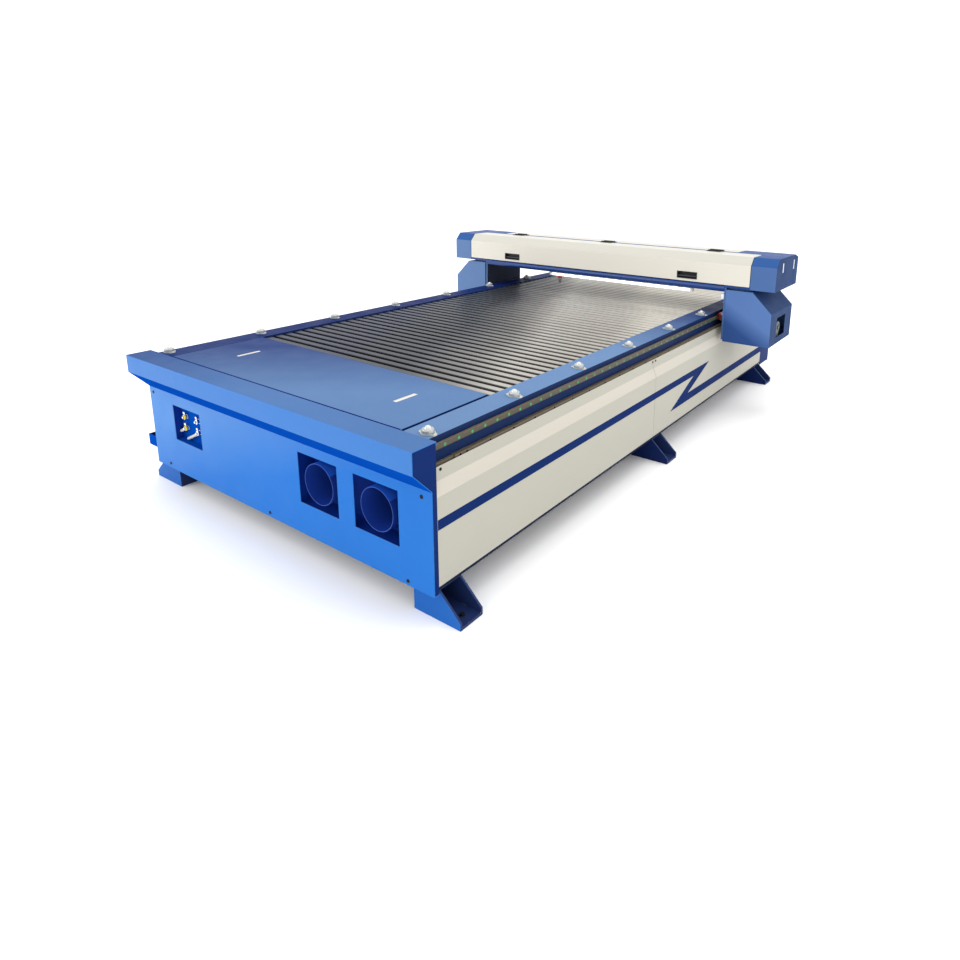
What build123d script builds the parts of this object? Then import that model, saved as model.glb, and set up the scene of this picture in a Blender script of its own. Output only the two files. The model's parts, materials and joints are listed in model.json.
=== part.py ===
"""A flatbed laser engraving machine: a long body on six feet with a slatted table, and a gantry that
travels along it and carries the laser head across it.

X runs across the machine, Y from its front to its rear and Z up. The origin is on the floor, below the
middle of the machine. All sizes are in millimetres.
"""
import math
import os

from build123d import *

os.makedirs("parts", exist_ok=True)

# Overall sizes of the body
machine_length = 3240
body_width = 1582
body_bottom = 94
hood_top = 574
front_y = -machine_length / 2
rear_y = machine_length / 2
half_body = body_width / 2

# Sheet metal and clearances
sheet = 3
seam = 2
seat_gap = 0.3

# Front end box: a folded hood that overhangs the lower panel
hood_depth = 95
hood_face_height = 70
hood_overhang = 72
hood_slope_bottom = 428
hood_flange = 24
rear_box_length = 182
beam_inset = 39
frame_bottom = 109
hood_gap = 8

# Frame of tubes
beam_width = 102
beam_height = 160
beam_top = 568
tube_wall = 6
lower_tube = 80
beam_outer = half_body - beam_inset
half_bed = beam_outer - beam_width
bed_width = 2 * half_bed
beam_bottom = beam_top - beam_height
beam_front = front_y + hood_depth + hood_gap
beam_rear = rear_y - rear_box_length
beam_length = beam_rear - beam_front
beam_middle = (beam_front + beam_rear) / 2

# Feet
foot_length = 100
foot_inward = 113
foot_outward = 75
foot_top_inward = 16
foot_inner = half_body - foot_inward
foot_outer = half_body + foot_outward
foot_top_outer = half_body - foot_top_inward
foot_edge_height = 25
foot_plate = 10
anchor_hole = 18
anchor_from_edge = 38
front_foot = 148
middle_foot = 1561
rear_foot = 215
foot_places = [front_y + front_foot, front_y + middle_foot, rear_y - rear_foot]

# Table: slats across the bed, on two ledges and two bars
slat_pitch = 50
slat_width = 35
slat_height = 22
slat_top = 562
slat_wall = 3
ledge_width = 30
ledge_height = 30
ledge_thickness = 4
slat_bottom = slat_top - slat_height
cover_plate_length = 398
cover_plate_top = 570
cover_plate_seam = 5
cover_plate_gap = 9
plate_front = front_y + hood_depth + cover_plate_seam
plate_rear = plate_front + cover_plate_length
plate_half = half_bed - cover_plate_gap
light_slot_length = 100
light_slot_width = 20
light_slot_inset = 204
light_slot_offset = half_bed - light_slot_inset
light_slot_start = 161

# Side panels with a slope near their top edge
panel_bottom = 120
panel_top = 487
panel_slope_bottom = 404
panel_slope_top = 444
panel_recess = 15
panel_sheet = 2
panel_seam_place = 1505

# Guides and racks on the outer faces of the side beams
rail_width = 15
rail_height = 14
rail_bottom = 532
rail_groove = 1.5
rail_start = 110
rail_end_gap = 10
rack_start = 195
rack_depth = 15
rack_bottom = 476
rack_root = 489.6
stop_bar_depth = 10
gear_module = 1.5
pinion_teeth = 16

# Ball transfer units on the beams' tops
ball_pitch = 409
first_ball = 134
ball_end_room = 50
ball_radius = 12
ball_rise = 13
ball_offset = 20
cup_radius = 19
cup_height = 17
cup_shoulder = 6
cup_flange = 3
cup_flange_radius = 22.5
cup_ear_span = 64
cup_ear_width = 26

# Gantry
end_cap_width = 130
gantry_front = 2255
gantry_depth = 387
gantry_bottom = 715
gantry_height = 166
gantry_top = gantry_bottom + gantry_height
front_chamfer_run = 39
front_chamfer_drop = 42
rear_chamfer_run = 65
rear_chamfer_drop = 18
front_plane = front_y + gantry_front
rear_plane = front_plane + gantry_depth

# Legs of the gantry, clear of the body's sides
leg_gap = 27
leg_width = 247
leg_top_width = 142
cap_overhang = 6
leg_inner = half_body + leg_gap
leg_outer = leg_inner + leg_width
leg_top_outer = leg_inner + leg_top_width
gantry_half_length = leg_outer + cap_overhang
cap_inner = gantry_half_length - end_cap_width
leg_bottom = 424
leg_shoulder = 600
leg_top = 703
leg_depth = 379
leg_plate = 12
leg_proud = 1
leg_front = front_plane - leg_proud
leg_plate_inner = leg_inner - leg_plate


def write(piece, name):
    """Label a finished piece and write it to its file."""
    piece.part.label = name
    export_step(piece.part, f"parts/{name}.step")


def block(low, high, mode=Mode.ADD):
    """Add a box between two opposite corners to the part being built."""
    size = [high[i] - low[i] for i in range(3)]
    middle = [(high[i] + low[i]) / 2 for i in range(3)]
    with Locations(tuple(middle)):
        Box(*size, mode=mode)


def rectangular_tube(low, high, along, wall, mode=Mode.ADD):
    """Add a hollow tube between two corners, open at both ends of the axis numbered along."""
    block(low, high, mode)
    inner_low = [low[i] if i == along else low[i] + wall for i in range(3)]
    inner_high = [high[i] if i == along else high[i] - wall for i in range(3)]
    block(inner_low, inner_high, Mode.SUBTRACT)


def strip_section(points, thickness, side):
    """Draw the section of a folded sheet, to one side of an open outline."""
    with BuildLine() as outline:
        Polyline(*points)
        offset(amount=thickness, side=side, kind=Kind.INTERSECTION)
    make_face(outline.edges())


def both_sides():
    """The two sides of the machine: -1 is left and +1 is right."""
    return (-1, 1)


def span(side, inner, outer):
    """The lower and higher X of a stretch that lies on one side of the machine."""
    return sorted((side * inner, side * outer))


# Side beams
for side, name in ((-1, "left_side_beam"), (1, "right_side_beam")):
    low_x, high_x = span(side, half_bed, beam_outer)
    with BuildPart() as side_beam:
        rectangular_tube((low_x, beam_front, beam_bottom), (high_x, beam_rear, beam_top), 1, tube_wall)
    write(side_beam, name)

# Lower frame: two long tubes and the cross tubes between them
lower_outer = half_body - panel_sheet
lower_inner = lower_outer - lower_tube
lower_top = frame_bottom + lower_tube
lower_front = front_y + hood_overhang + sheet
lower_rear = rear_y - sheet
cross_places = [lower_front] + [y - lower_tube / 2 for y in foot_places[1:2]] + [lower_rear - lower_tube]
with BuildPart() as lower_frame_tubes:
    for side in both_sides():
        low_x, high_x = span(side, lower_inner, lower_outer)
        rectangular_tube((low_x, lower_front, frame_bottom), (high_x, lower_rear, lower_top), 1, tube_wall)
    for y in cross_places:
        low = (-lower_inner, y, frame_bottom)
        high = (lower_inner, y + lower_tube, lower_top)
        rectangular_tube(low, high, 0, tube_wall)
write(lower_frame_tubes, "lower_frame_tubes")

# Posts from the lower tubes to the side beams
post_width = 60
post_inner = lower_inner
with BuildPart() as frame_posts:
    for side in both_sides():
        low_x, high_x = span(side, post_inner, min(post_inner + post_width, beam_outer))
        for y in foot_places:
            low = (low_x, y - post_width / 2, lower_top)
            high = (high_x, y + post_width / 2, beam_bottom)
            rectangular_tube(low, high, 2, tube_wall)
write(frame_posts, "frame_posts")

# Upper cross beams between the side beams
cross_height = 50
support_height = 40
cross_top = slat_bottom - support_height
bed_cross_count = 5
bed_cross_end = 60
bed_cross_first = beam_front + bed_cross_end
bed_cross_last = beam_rear - bed_cross_end
with BuildPart() as bed_cross_beams:
    for i in range(bed_cross_count):
        y = bed_cross_first + i * (bed_cross_last - bed_cross_first) / (bed_cross_count - 1)
        low = (-half_bed, y - cross_height / 2, cross_top - cross_height)
        high = (half_bed, y + cross_height / 2, cross_top)
        rectangular_tube(low, high, 0, tube_wall / 2)
write(bed_cross_beams, "bed_cross_beams")

# Two long bars that carry the slats between the ledges
support_width = 30
support_place = half_bed / 3
with BuildPart() as slat_supports:
    for side in both_sides():
        low_x, high_x = span(side, support_place - support_width / 2, support_place + support_width / 2)
        low = (low_x, beam_front, cross_top)
        high = (high_x, beam_rear, slat_bottom)
        rectangular_tube(low, high, 1, tube_wall / 2)
write(slat_supports, "slat_supports")

# Angle ledges on the inner faces of the side beams
with BuildPart() as slat_ledges:
    for side in both_sides():
        low_x, high_x = span(side, half_bed - ledge_width, half_bed)
        web_low, web_high = span(side, half_bed - ledge_thickness, half_bed)
        block((low_x, beam_front, slat_bottom - ledge_thickness), (high_x, beam_rear, slat_bottom))
        low = (web_low, beam_front, slat_bottom - ledge_height)
        block(low, (web_high, beam_rear, slat_bottom - ledge_thickness))
write(slat_ledges, "slat_ledges")

# Table slats: channels with sloping edges, from the cover plate to the rear box
slat_length = bed_width - 2 * seam
slat_start = plate_rear + slat_pitch - slat_width
slat_room = beam_rear - slat_start
slat_count = math.floor((slat_room - slat_width) / slat_pitch) + 1
slat_bevel = 3
with BuildPart() as table_slats:
    with BuildSketch(Plane.YZ) as slat_section:
        for i in range(slat_count):
            y = slat_start + i * slat_pitch
            with BuildLine():
                Polyline(
                    (y, slat_bottom),
                    (y, slat_top - slat_bevel),
                    (y + slat_bevel, slat_top),
                    (y + slat_width - slat_bevel, slat_top),
                    (y + slat_width, slat_top - slat_bevel),
                    (y + slat_width, slat_bottom),
                    (y + slat_width - slat_wall, slat_bottom),
                    (y + slat_width - slat_wall, slat_top - slat_wall - slat_bevel),
                    (y + slat_wall, slat_top - slat_wall - slat_bevel),
                    (y + slat_wall, slat_bottom),
                    close=True,
                )
            make_face()
    extrude(amount=slat_length / 2, both=True)
write(table_slats, "table_slats")

# Front cover plate: a shallow folded lid with two light slots, resting on the ledges
with BuildPart() as front_cover_plate:
    block((-plate_half, plate_front, slat_bottom), (plate_half, plate_rear, cover_plate_top))
    low = (-plate_half + sheet, plate_front + sheet, slat_bottom)
    high = (plate_half - sheet, plate_rear - sheet, cover_plate_top - sheet)
    block(low, high, Mode.SUBTRACT)
    for side in both_sides():
        low_x, high_x = span(side, light_slot_offset - light_slot_width / 2, light_slot_offset + light_slot_width / 2)
        low = (low_x, plate_front + light_slot_start, cover_plate_top - sheet)
        block(low, (high_x, plate_front + light_slot_start + light_slot_length, cover_plate_top), Mode.SUBTRACT)
write(front_cover_plate, "front_cover_plate")

# Dust tub below the table, on the lower cross tubes, with holes for the exhaust ducts
duct_radius = 72
duct_wall = 2
duct_height = 300
duct_from_side = 237.5
duct_spacing = 275
duct_from_front = 76
tub_from_front = 253
tub_rear_gap = 20
tub_top_gap = 10
tub_side_gap = 12
duct_front = front_y + duct_from_front
tub_front = front_y + tub_from_front
tub_rear = beam_rear - tub_rear_gap
tub_top = cross_top - cross_height - tub_top_gap
tub_half = half_bed - tub_side_gap
duct_places = [half_body - duct_from_side - duct_spacing, half_body - duct_from_side]
with BuildPart() as dust_tub:
    block((-tub_half, tub_front, lower_top), (tub_half, tub_rear, tub_top))
    low = (-tub_half + sheet, tub_front + sheet, lower_top + sheet)
    block(low, (tub_half - sheet, tub_rear - sheet, tub_top), Mode.SUBTRACT)
    with BuildSketch(Plane.XZ.offset(-tub_front)):
        for x in duct_places:
            with Locations((x, duct_height)):
                Circle(duct_radius + seat_gap)
    extrude(amount=-sheet, mode=Mode.SUBTRACT)
write(dust_tub, "dust_tub")

# Exhaust ducts: thin tubes from the front openings to the tub
with BuildPart() as exhaust_ducts:
    with BuildSketch(Plane.XZ.offset(-duct_front)):
        for x in duct_places:
            with Locations((x, duct_height)):
                Circle(duct_radius)
                Circle(duct_radius - duct_wall, mode=Mode.SUBTRACT)
    extrude(amount=-(tub_front + sheet - duct_front))
write(exhaust_ducts, "exhaust_ducts")

# Front end panel: one folded sheet with a service window and two duct openings
window_from_side = 270
window_centre = window_from_side - half_body
window_width = 194
window_bottom = 237
window_height = 145
duct_opening_width = 197
duct_opening_bottom = 211
duct_opening_height = 181
panel_plane = front_y + hood_overhang
hood_face_bottom = hood_top - hood_face_height
hood_rear = front_y + hood_depth
front_outline = [
    (panel_plane + hood_flange, body_bottom),
    (panel_plane, body_bottom),
    (panel_plane, hood_slope_bottom),
    (front_y, hood_face_bottom),
    (front_y, hood_top),
    (hood_rear, hood_top),
    (hood_rear, slat_top),
]
with BuildPart() as front_end_panel:
    with BuildSketch(Plane.YZ):
        strip_section(front_outline, sheet, Side.RIGHT)
    extrude(amount=half_body, both=True)
    window_low = (window_centre - window_width / 2, panel_plane, window_bottom)
    window_high = (window_centre + window_width / 2, panel_plane + sheet, window_bottom + window_height)
    block(window_low, window_high, Mode.SUBTRACT)
    for x in duct_places:
        low = (x - duct_opening_width / 2, panel_plane, duct_opening_bottom)
        high = (x + duct_opening_width / 2, panel_plane + sheet, duct_opening_bottom + duct_opening_height)
        block(low, high, Mode.SUBTRACT)
write(front_end_panel, "front_end_panel")

# Rear end panel: a plain folded sheet, with a round entry for the mains lead
inlet_radius = 14
inlet_from_side = 231
inlet_height = 180
rear_front = beam_rear
rear_outline = [
    (rear_y - hood_flange, body_bottom),
    (rear_y, body_bottom),
    (rear_y, hood_top),
    (rear_front, hood_top),
    (rear_front, slat_top),
]
with BuildPart() as rear_end_panel:
    with BuildSketch(Plane.YZ):
        strip_section(rear_outline, sheet, Side.LEFT)
    extrude(amount=half_body, both=True)
    with BuildSketch(Plane.XZ.offset(-rear_y)):
        with Locations((half_body - inlet_from_side, inlet_height)):
            Circle(inlet_radius)
    extrude(amount=sheet, mode=Mode.SUBTRACT)
write(rear_end_panel, "rear_end_panel")

# Cheeks that close the two end boxes at the sides
front_cheek = [
    (panel_plane + sheet, body_bottom + sheet),
    (panel_plane + sheet, hood_slope_bottom + sheet),
    (front_y + sheet, hood_face_bottom + sheet),
    (front_y + sheet, hood_top - sheet),
    (hood_rear - sheet, hood_top - sheet),
    (hood_rear - sheet, body_bottom + sheet),
]
rear_cheek = [
    (rear_y - sheet, body_bottom + sheet),
    (rear_y - sheet, hood_top - sheet),
    (rear_front + sheet, hood_top - sheet),
    (rear_front + sheet, body_bottom + sheet),
]
with BuildPart() as end_cheeks:
    for side in both_sides():
        for outline in (front_cheek, rear_cheek):
            with BuildSketch(Plane.YZ.offset(side * half_body)):
                with BuildLine():
                    Polyline(*outline, close=True)
                make_face()
            extrude(amount=-side * panel_sheet)
write(end_cheeks, "end_cheeks")

# Side panels, two lengths per side, with a slope below the recessed upper edge
panel_front = hood_rear - sheet
panel_rear = rear_front + sheet
panel_joint = front_y + panel_seam_place
panel_flange = 20
flange_play = 1
for side, name in ((-1, "left_side_panels"), (1, "right_side_panels")):
    outline = [
        (side * (half_body - panel_flange), panel_bottom),
        (side * half_body, panel_bottom),
        (side * half_body, panel_slope_bottom),
        (side * (half_body - panel_recess), panel_slope_top),
        (side * (half_body - panel_recess), panel_top),
    ]
    inward = Side.LEFT if side > 0 else Side.RIGHT
    with BuildPart() as side_panels:
        for start, end in ((panel_front, panel_joint), (panel_joint + seam, panel_rear)):
            with BuildSketch(Plane.XZ.offset(-start)):
                strip_section(outline, panel_sheet, inward)
            extrude(amount=-(end - start))
        flange_low, flange_high = span(side, half_body - panel_flange - flange_play, half_body - panel_sheet)
        low = (flange_low, panel_front - flange_play, panel_bottom)
        block(low, (flange_high, panel_rear + flange_play, panel_bottom + panel_sheet), Mode.SUBTRACT)
    write(side_panels, name)

# Brackets that hold the side panels to the beams
bracket_length = 60
bracket_height = 30
bracket_drop = 6
bracket_from_front = 250
bracket_from_joint = 61
bracket_from_rear = 120
bracket_top = rack_bottom - bracket_drop
bracket_places = [
    front_y + bracket_from_front,
    panel_joint + seam / 2 - bracket_from_joint,
    panel_joint + seam / 2 + bracket_from_joint,
    rear_front - bracket_from_rear,
]
with BuildPart() as panel_brackets:
    for side in both_sides():
        low_x, high_x = span(side, beam_outer, half_body - panel_recess - panel_sheet)
        for y in bracket_places:
            low = (low_x, y - bracket_length / 2, bracket_top - bracket_height)
            block(low, (high_x, y + bracket_length / 2, bracket_top))
write(panel_brackets, "panel_brackets")

# Feet: base plate, inner plate, top plate and two gussets, open to the outer side
gusset = 8
for side, name in ((-1, "left_feet"), (1, "right_feet")):
    gusset_outline = [
        (side * foot_inner, 0),
        (side * foot_outer, 0),
        (side * foot_outer, foot_edge_height),
        (side * foot_top_outer, frame_bottom),
        (side * foot_inner, frame_bottom),
    ]
    inner_low, inner_high = span(side, foot_inner + gusset, foot_outer)
    with BuildPart() as feet:
        for y in foot_places:
            start = y - foot_length / 2
            with BuildSketch(Plane.XZ.offset(-start)):
                with BuildLine():
                    Polyline(*gusset_outline, close=True)
                make_face()
            extrude(amount=-foot_length)
            low = (inner_low, start + gusset, foot_plate)
            high = (inner_high, start + foot_length - gusset, frame_bottom - gusset)
            block(low, high, Mode.SUBTRACT)
            with Locations((side * (foot_outer - anchor_from_edge), y, foot_plate)):
                Hole(anchor_hole / 2, foot_plate)
    write(feet, name)

# Linear guides on the beams' outer faces
rail_front = front_y + rail_start
rail_rear = beam_rear - rail_end_gap
rail_top = rail_bottom + rail_width
rail_middle = (rail_bottom + rail_top) / 2
with BuildPart() as linear_rails:
    for side in both_sides():
        rail_outline = [
            (side * beam_outer, rail_bottom),
            (side * (beam_outer + rail_height * 0.4), rail_bottom),
            (side * (beam_outer + rail_height * 0.6), rail_bottom + rail_groove),
            (side * (beam_outer + rail_height * 0.8), rail_bottom),
            (side * (beam_outer + rail_height), rail_bottom),
            (side * (beam_outer + rail_height), rail_top),
            (side * (beam_outer + rail_height * 0.8), rail_top),
            (side * (beam_outer + rail_height * 0.6), rail_top - rail_groove),
            (side * (beam_outer + rail_height * 0.4), rail_top),
            (side * beam_outer, rail_top),
        ]
        with BuildSketch(Plane.XZ.offset(-rail_front)):
            with BuildLine():
                Polyline(*rail_outline, close=True)
            make_face()
        extrude(amount=-(rail_rear - rail_front))
write(linear_rails, "linear_rails")

# Racks below the guides, drawn up to the root of their teeth
rack_front = front_y + rack_start
rack_rear = rail_rear - (rack_start - rail_start)
with BuildPart() as racks:
    for side in both_sides():
        low_x, high_x = span(side, beam_outer, beam_outer + rack_depth)
        block((low_x, rack_front, rack_bottom), (high_x, rack_rear, rack_root))
write(racks, "racks")

# Thinner bars that butt against both ends of each rack
with BuildPart() as rack_end_clamps:
    for side in both_sides():
        low_x, high_x = span(side, beam_outer, beam_outer + stop_bar_depth)
        for start, end in ((rail_front, rack_front), (rack_rear, rail_rear)):
            block((low_x, start, rack_bottom), (high_x, end, rack_root))
write(rack_end_clamps, "rack_end_clamps")

# Ball transfer units: round-shouldered cups on flanges with two ears, and a ball in each
ball_line = (half_bed + beam_outer) / 2 + ball_offset
ball_centre = beam_top + ball_rise
ball_count = math.floor((beam_rear - ball_end_room - front_y - first_ball) / ball_pitch) + 1
ball_y = [front_y + first_ball + i * ball_pitch for i in range(ball_count)]
ball_spots = [(side * ball_line, y) for side in both_sides() for y in ball_y]
with BuildPart() as ball_cups:
    with BuildSketch(Plane.XY.offset(beam_top)):
        with Locations(*ball_spots):
            SlotOverall(cup_ear_span, cup_ear_width)
            Circle(cup_flange_radius)
    extrude(amount=cup_flange)
    with BuildSketch(Plane.XY.offset(beam_top + cup_flange)):
        with Locations(*ball_spots):
            Circle(cup_radius)
    extrude(amount=cup_height - cup_flange)
    rims = ball_cups.faces().group_by(Axis.Z)[-1].edges()
    fillet(rims, cup_shoulder)
    with Locations(*[(x, y, ball_centre) for x, y in ball_spots]):
        Sphere(ball_radius + seat_gap, mode=Mode.SUBTRACT)
write(ball_cups, "ball_cups")

with BuildPart() as transfer_balls:
    with Locations(*[(x, y, ball_centre) for x, y in ball_spots]):
        Sphere(ball_radius)
write(transfer_balls, "transfer_balls")

# Service box behind the window, and duct box behind the duct openings
service_depth = 32
service_lip = 4
duct_box_depth = 72
duct_box_lip = 12
recess_front = panel_plane + sheet


def recess_box(low_x, high_x, low_z, high_z, depth):
    """Add a sheet box that is open to the front, against the back of the front panel."""
    block((low_x, recess_front, low_z), (high_x, recess_front + depth, high_z))
    low = (low_x + panel_sheet, recess_front, low_z + panel_sheet)
    high = (high_x - panel_sheet, recess_front + depth - panel_sheet, high_z - panel_sheet)
    block(low, high, Mode.SUBTRACT)


service_low_x = window_centre - window_width / 2 - service_lip
service_high_x = window_centre + window_width / 2 + service_lip
service_high_z = window_bottom + window_height + service_lip
with BuildPart() as service_box:
    recess_box(service_low_x, service_high_x, window_bottom - service_lip, service_high_z, service_depth)
write(service_box, "service_box")

duct_box_low = duct_places[0] - duct_opening_width / 2 - duct_box_lip
duct_box_high = duct_places[1] + duct_opening_width / 2 + duct_box_lip
duct_box_top = duct_opening_bottom + duct_opening_height + duct_box_lip
with BuildPart() as duct_box:
    recess_box(duct_box_low, duct_box_high, duct_opening_bottom - duct_box_lip, duct_box_top, duct_box_depth)
    with BuildSketch(Plane.XZ.offset(-(recess_front + duct_box_depth))):
        for x in duct_places:
            with Locations((x, duct_height)):
                Circle(duct_radius + seat_gap)
    extrude(amount=panel_sheet, mode=Mode.SUBTRACT)
write(duct_box, "duct_box")

# Four couplings on the back of the service box, each with a collar and a nipple
coupling_spacing_x = 89
coupling_spacing_z = 47
coupling_offset = 12
coupling_radius = 10
nipple_radius = 5
coupling_length = 9
nipple_length = 12
coupling_back = recess_front + service_depth - panel_sheet
coupling_height = window_bottom + window_height / 2
coupling_centre = window_centre - coupling_offset
with BuildPart() as service_couplings:
    with BuildSketch(Plane.XZ.offset(-coupling_back)):
        with Locations((coupling_centre, coupling_height)):
            with GridLocations(coupling_spacing_x, coupling_spacing_z, 2, 2):
                Circle(coupling_radius)
    extrude(amount=coupling_length)
    with BuildSketch(Plane.XZ.offset(-(coupling_back - coupling_length))):
        with Locations((coupling_centre, coupling_height)):
            with GridLocations(coupling_spacing_x, coupling_spacing_z, 2, 2):
                Circle(nipple_radius)
    extrude(amount=nipple_length)
write(service_couplings, "service_couplings")

# Cable tray along the left side
tray_width = 60
tray_bottom = 158
tray_height = 47
tray_length = 1900
tray_front = panel_plane
with BuildPart() as cable_tray:
    low = (-half_body - tray_width, tray_front, tray_bottom)
    block(low, (-half_body, tray_front + tray_length, tray_bottom + tray_height))
    low = (-half_body - tray_width + sheet, tray_front + sheet, tray_bottom + sheet)
    high = (-half_body - sheet, tray_front + tray_length - sheet, tray_bottom + tray_height)
    block(low, high, Mode.SUBTRACT)
write(cable_tray, "cable_tray")

# Bearing blocks on the guides, with a bar that joins each pair to its leg plate
block_length = 61
block_height = 34
block_outer = 28
block_spacing = 150
block_gap = 5
seal_length = 10
running_gap = 0.3
drive_place = 2443
drive_y = front_y + drive_place
bar_reach = 30
block_face = beam_outer + block_outer
bar_length = block_spacing + block_length + 2 * bar_reach
block_bottom = rail_middle - block_height / 2
block_ends = [drive_y - block_spacing / 2, drive_y + block_spacing / 2]


def guide_block(side, start, end, reach):
    """Add a block that wraps round the guide with a running gap."""
    low_x, high_x = span(side, beam_outer + block_gap, reach)
    block((low_x, start, block_bottom), (high_x, end, block_bottom + block_height))
    low_x, high_x = span(side, beam_outer + block_gap / 2, beam_outer + rail_height + running_gap)
    low = (low_x, start, rail_bottom - running_gap)
    block(low, (high_x, end, rail_top + running_gap), Mode.SUBTRACT)


with BuildPart() as bearing_blocks:
    for side in both_sides():
        for y in block_ends:
            guide_block(side, y - block_length / 2, y + block_length / 2, block_face)
        low_x, high_x = span(side, block_face, leg_plate_inner)
        low = (low_x, drive_y - bar_length / 2, block_bottom)
        block(low, (high_x, drive_y + bar_length / 2, block_bottom + block_height))
write(bearing_blocks, "bearing_blocks")

with BuildPart() as bearing_seals:
    for side in both_sides():
        for y in block_ends:
            for start in (y - block_length / 2 - seal_length, y + block_length / 2):
                guide_block(side, start, start + seal_length, block_face)
write(bearing_seals, "bearing_seals")

# Leg plates: a thick upright plate with a shelf for the gantry beam
plate_margin = 8
shelf_end_gap = 6
shelf_from_front = 35
shelf_from_rear = 42
plate_bottom = leg_bottom + plate_margin
plate_front_y = leg_front + plate_margin
plate_rear_y = leg_front + leg_depth - plate_margin
shelf_outer = cap_inner - shelf_end_gap
shelf_front = front_plane + shelf_from_front
shelf_rear = rear_plane - shelf_from_rear
shaft_hole = 20
pinion_radius = gear_module * pinion_teeth / 2
drive_height = rack_root + 1.25 * gear_module + pinion_radius
with BuildPart() as leg_plates:
    for side in both_sides():
        low_x, high_x = span(side, leg_plate_inner, leg_inner)
        block((low_x, plate_front_y, plate_bottom), (high_x, plate_rear_y, gantry_bottom))
        low_x, high_x = span(side, leg_inner, shelf_outer)
        block((low_x, shelf_front, leg_top), (high_x, shelf_rear, gantry_bottom))
    with BuildSketch(Plane.YZ):
        with Locations((drive_y, drive_height)):
            Circle(shaft_hole)
    extrude(amount=gantry_half_length, both=True, mode=Mode.SUBTRACT)
write(leg_plates, "leg_plates")

# Leg covers: sheet housings with a sloping shoulder and a window over the motor
leg_window_front = 110
leg_window_length = 156
leg_window_bottom = 457
leg_window_height = 108
for side, name in ((-1, "left_leg_cover"), (1, "right_leg_cover")):
    outline = [
        (side * leg_inner, leg_bottom),
        (side * leg_outer, leg_bottom),
        (side * leg_outer, leg_shoulder),
        (side * leg_top_outer, leg_top),
        (side * leg_inner, leg_top),
    ]
    with BuildPart() as leg_cover:
        with BuildSketch(Plane.XZ.offset(-leg_front)):
            with BuildLine():
                Polyline(*outline, close=True)
            make_face()
        extrude(amount=-leg_depth)
        with BuildSketch(Plane.XZ.offset(-(leg_front + sheet))):
            with BuildLine():
                Polyline(*outline, close=True)
            make_face()
            offset(amount=-sheet, kind=Kind.INTERSECTION, mode=Mode.REPLACE)
            with Locations((side * (leg_inner + sheet), (leg_bottom + leg_top) / 2)):
                Rectangle(2 * sheet, leg_top - leg_bottom - 2 * sheet)
        extrude(amount=-(leg_depth - 2 * sheet), mode=Mode.SUBTRACT)
        low_x, high_x = span(side, leg_outer - sheet, leg_outer)
        low = (low_x, leg_front + leg_window_front, leg_window_bottom)
        high = (high_x, leg_front + leg_window_front + leg_window_length, leg_window_bottom + leg_window_height)
        block(low, high, Mode.SUBTRACT)
    write(leg_cover, name)

# Motors: one in each leg, and one on the beam for the head's belt
motor_size = 86
motor_length = 80
shaft_radius = 6
shaft_gap = 0.05
motor_corner = 10
head_motor_size = 57
head_motor_length = 76
belt_height = 760
belt_inset = 91
belt_end = cap_inner - belt_inset
beam_from_front = 149
beam_front_gantry = front_plane + beam_from_front
gantry_beam_size = 120
belt_width = 15
belt_from_beam = 20
belt_front = beam_front_gantry - belt_from_beam
bracket_sheet = 4
bracket_margin = 8
motor_from_beam = 38
head_motor_rear = beam_front_gantry - motor_from_beam
motor_bracket_outer = belt_end + head_motor_size / 2 + bracket_margin
with BuildPart() as drive_motors:
    for side in both_sides():
        with BuildSketch(Plane.YZ.offset(side * leg_inner)):
            with Locations((drive_y, drive_height)):
                RectangleRounded(motor_size, motor_size, motor_corner)
                Circle(shaft_radius + shaft_gap, mode=Mode.SUBTRACT)
        extrude(amount=side * motor_length)
    with BuildSketch(Plane.XZ.offset(-head_motor_rear)):
        with Locations((belt_end, belt_height)):
            RectangleRounded(head_motor_size, head_motor_size, motor_corner / 2)
            Circle(shaft_radius + shaft_gap, mode=Mode.SUBTRACT)
    extrude(amount=head_motor_length)
    with BuildSketch(Plane.XZ.offset(-head_motor_rear)):
        with Locations((belt_end + bracket_sheet, belt_height)):
            Rectangle(head_motor_size + 2 * bracket_margin, head_motor_size)
        with Locations((belt_end, belt_height)):
            Circle(shaft_hole / 2, mode=Mode.SUBTRACT)
    extrude(amount=-bracket_sheet)
    low = (motor_bracket_outer, head_motor_rear, belt_height - head_motor_size / 2)
    high = (motor_bracket_outer + bracket_sheet, beam_front_gantry, belt_height + head_motor_size / 2)
    block(low, high)
write(drive_motors, "drive_motors")

# Pinions that run on the racks, each turned with its shaft
pinion_side_gap = 1
pinion_width = rack_depth - pinion_side_gap
pinion_inner = beam_outer + pinion_side_gap
outside_radius = pinion_radius + gear_module
root_radius = pinion_radius - 1.25 * gear_module
shaft_in_motor = 30
tooth_pitch_angle = 360 / pinion_teeth
pinion_tip_gap = 0.4


def tooth_points(count, root, tip):
    """The outline of a gear with straight-flanked teeth, one after another."""
    points = []
    for i in range(count):
        for share, radius in ((-0.25, root), (-0.11, tip), (0.11, tip), (0.25, root)):
            angle = math.radians((i + share) * 360 / count)
            points.append((radius * math.cos(angle), radius * math.sin(angle)))
    return points


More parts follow.
